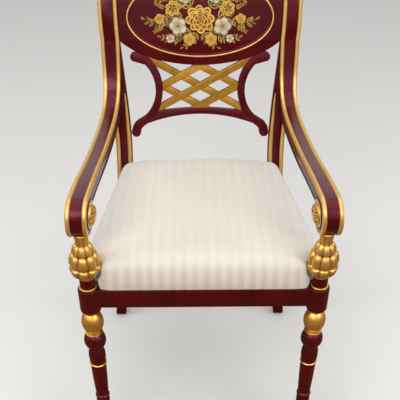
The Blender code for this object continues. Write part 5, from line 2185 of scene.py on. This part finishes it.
@dataclass(frozen=True)
class Lamp:
    """One soft round lamp: its power in watts, its width and place, and whether gloss mirrors it."""

    name: str
    power: float
    width: float
    place: Triple
    mirrored: bool = True


@dataclass(frozen=True)
class Studio:
    """Floor, light and camera."""

    eye: Triple = (-0.0322, -1.5976, 1.3913)
    turn: float = -1.017
    dip: float = 29.66
    roll: float = 0.18
    lens: float = 70.86
    ambient: float = 0.54
    windows: tuple[tuple[Triple, float], ...] = (((-0.62, -0.38, 0.66), 2.6), ((0.60, -0.44, 0.62), 1.7))
    aim: Triple = (0.0, 0.0, 0.5)
    lamps: tuple[Lamp, ...] = (
        Lamp("key_light", 43.0, 2.2, (-1.1, -2.9, 2.9)),
        Lamp("fill_light", 27.0, 1.8, (2.0, -2.5, 2.5)),
        Lamp("top_light", 26.0, 3.6, (0.0, 0.0, 3.6)),
        Lamp("left_light", 32.0, 1.4, (-2.8, -0.5, 1.15), False),
        Lamp("right_light", 22.0, 1.4, (2.8, -0.5, 1.15), False),
    )

    def lay_floor(self) -> None:
        """Lays the plain pale floor."""
        bpy.ops.object.select_all(action="DESELECT")
        bpy.ops.mesh.primitive_plane_add(size=24.0)
        floor = Bench.named("studio_floor")
        floor.data.materials.append(PaleFloor().material("pale_floor"))

    def light(self) -> None:
        """Hangs three soft lamps over the chair and sets a low one at each side of it."""
        for lamp in self.lamps:
            bpy.ops.object.select_all(action="DESELECT")
            bpy.ops.object.light_add(type="AREA", location=lamp.place)
            light = bpy.context.active_object
            light.name = lamp.name
            light.data.energy = lamp.power
            light.data.shape = "DISK"
            light.data.size = lamp.width
            light.visible_glossy = lamp.mirrored
            way = Vector(self.aim) - Vector(lamp.place)
            light.rotation_euler = way.to_track_quat("-Z", "Y").to_euler()

    def brighten_room(self) -> None:
        """Makes the room white and its light soft. The gloss mirrors a graded sky with two windows."""
        world = bpy.data.worlds.new("white_room")
        world.use_nodes = True
        bpy.context.scene.world = world
        nodes = Nodes(world.node_tree)
        background = world.node_tree.nodes["Background"]
        background.inputs["Color"].default_value = (1, 1, 1, 1)
        path = nodes.add("ShaderNodeLightPath")
        way = nodes.add("ShaderNodeTexCoord").outputs["Generated"]
        height = nodes.add("ShaderNodeSeparateXYZ")
        nodes.feed(height.inputs[0], way)
        level = nodes.band(height.outputs["Z"], 0.0, 0.20, 0.05, 0.95, "LINEAR")
        for aim, strength in self.windows:
            facing = nodes.add("ShaderNodeVectorMath", operation="DOT_PRODUCT")
            nodes.feed(facing.inputs[0], way)
            facing.inputs[1].default_value = Vector(aim).normalized()
            pane = nodes.band(facing.outputs["Value"], 0.950, 0.978, 0.0, strength, "LINEAR")
            level = nodes.calc("ADD", level, pane)
        glossy, seen = nodes.add("ShaderNodeMix"), nodes.add("ShaderNodeMix")
        for mix, ray, low, high in (
            (glossy, "Is Glossy Ray", self.ambient, level),
            (seen, "Is Camera Ray", glossy.outputs[0], 1.0),
        ):
            nodes.feed(mix.inputs[0], path.outputs[ray])
            nodes.feed(mix.inputs[2], low)
            nodes.feed(mix.inputs[3], high)
        nodes.feed(background.inputs["Strength"], seen.outputs[0])

    def set_camera(self) -> None:
        """Sets the camera where the photograph was taken from."""
        bpy.ops.object.select_all(action="DESELECT")
        bpy.ops.object.camera_add()
        camera = bpy.context.active_object
        camera.name = "photo_camera"
        camera.data.sensor_fit = "HORIZONTAL"
        camera.data.sensor_width = 36.0
        camera.data.lens = self.lens
        camera.data.clip_end = 60.0
        camera.matrix_world = (
            Matrix.Translation(self.eye)
            @ Matrix.Rotation(math.radians(self.turn), 4, "Z")
            @ Matrix.Rotation(math.radians(90 - self.dip), 4, "X")
            @ Matrix.Rotation(math.radians(self.roll), 4, "Z")
        )
        bpy.context.scene.camera = camera

    def build(self) -> None:
        """Sets up the studio."""
        self.lay_floor()
        self.light()
        self.brighten_room()
        self.set_camera()
        bpy.context.scene.view_settings.view_transform = "Standard"


def main() -> None:
    """Builds the whole chair and its studio."""
    logging.basicConfig(level=logging.INFO, format="%(message)s")
    plan = Plan()
    finishes = Finishes.mixed()
    for side in Side:
        FrontPost(side, plan, finishes).build()
        ScrollArm(side, plan, finishes).build()
    back = Back(plan, finishes)
    back.build()
    FloralSpray(back, finishes).build()
    SeatFrame(finishes).build()
    Cushion(plan, finishes).build()
    Studio().build()


if __name__ == "__main__":
    main()
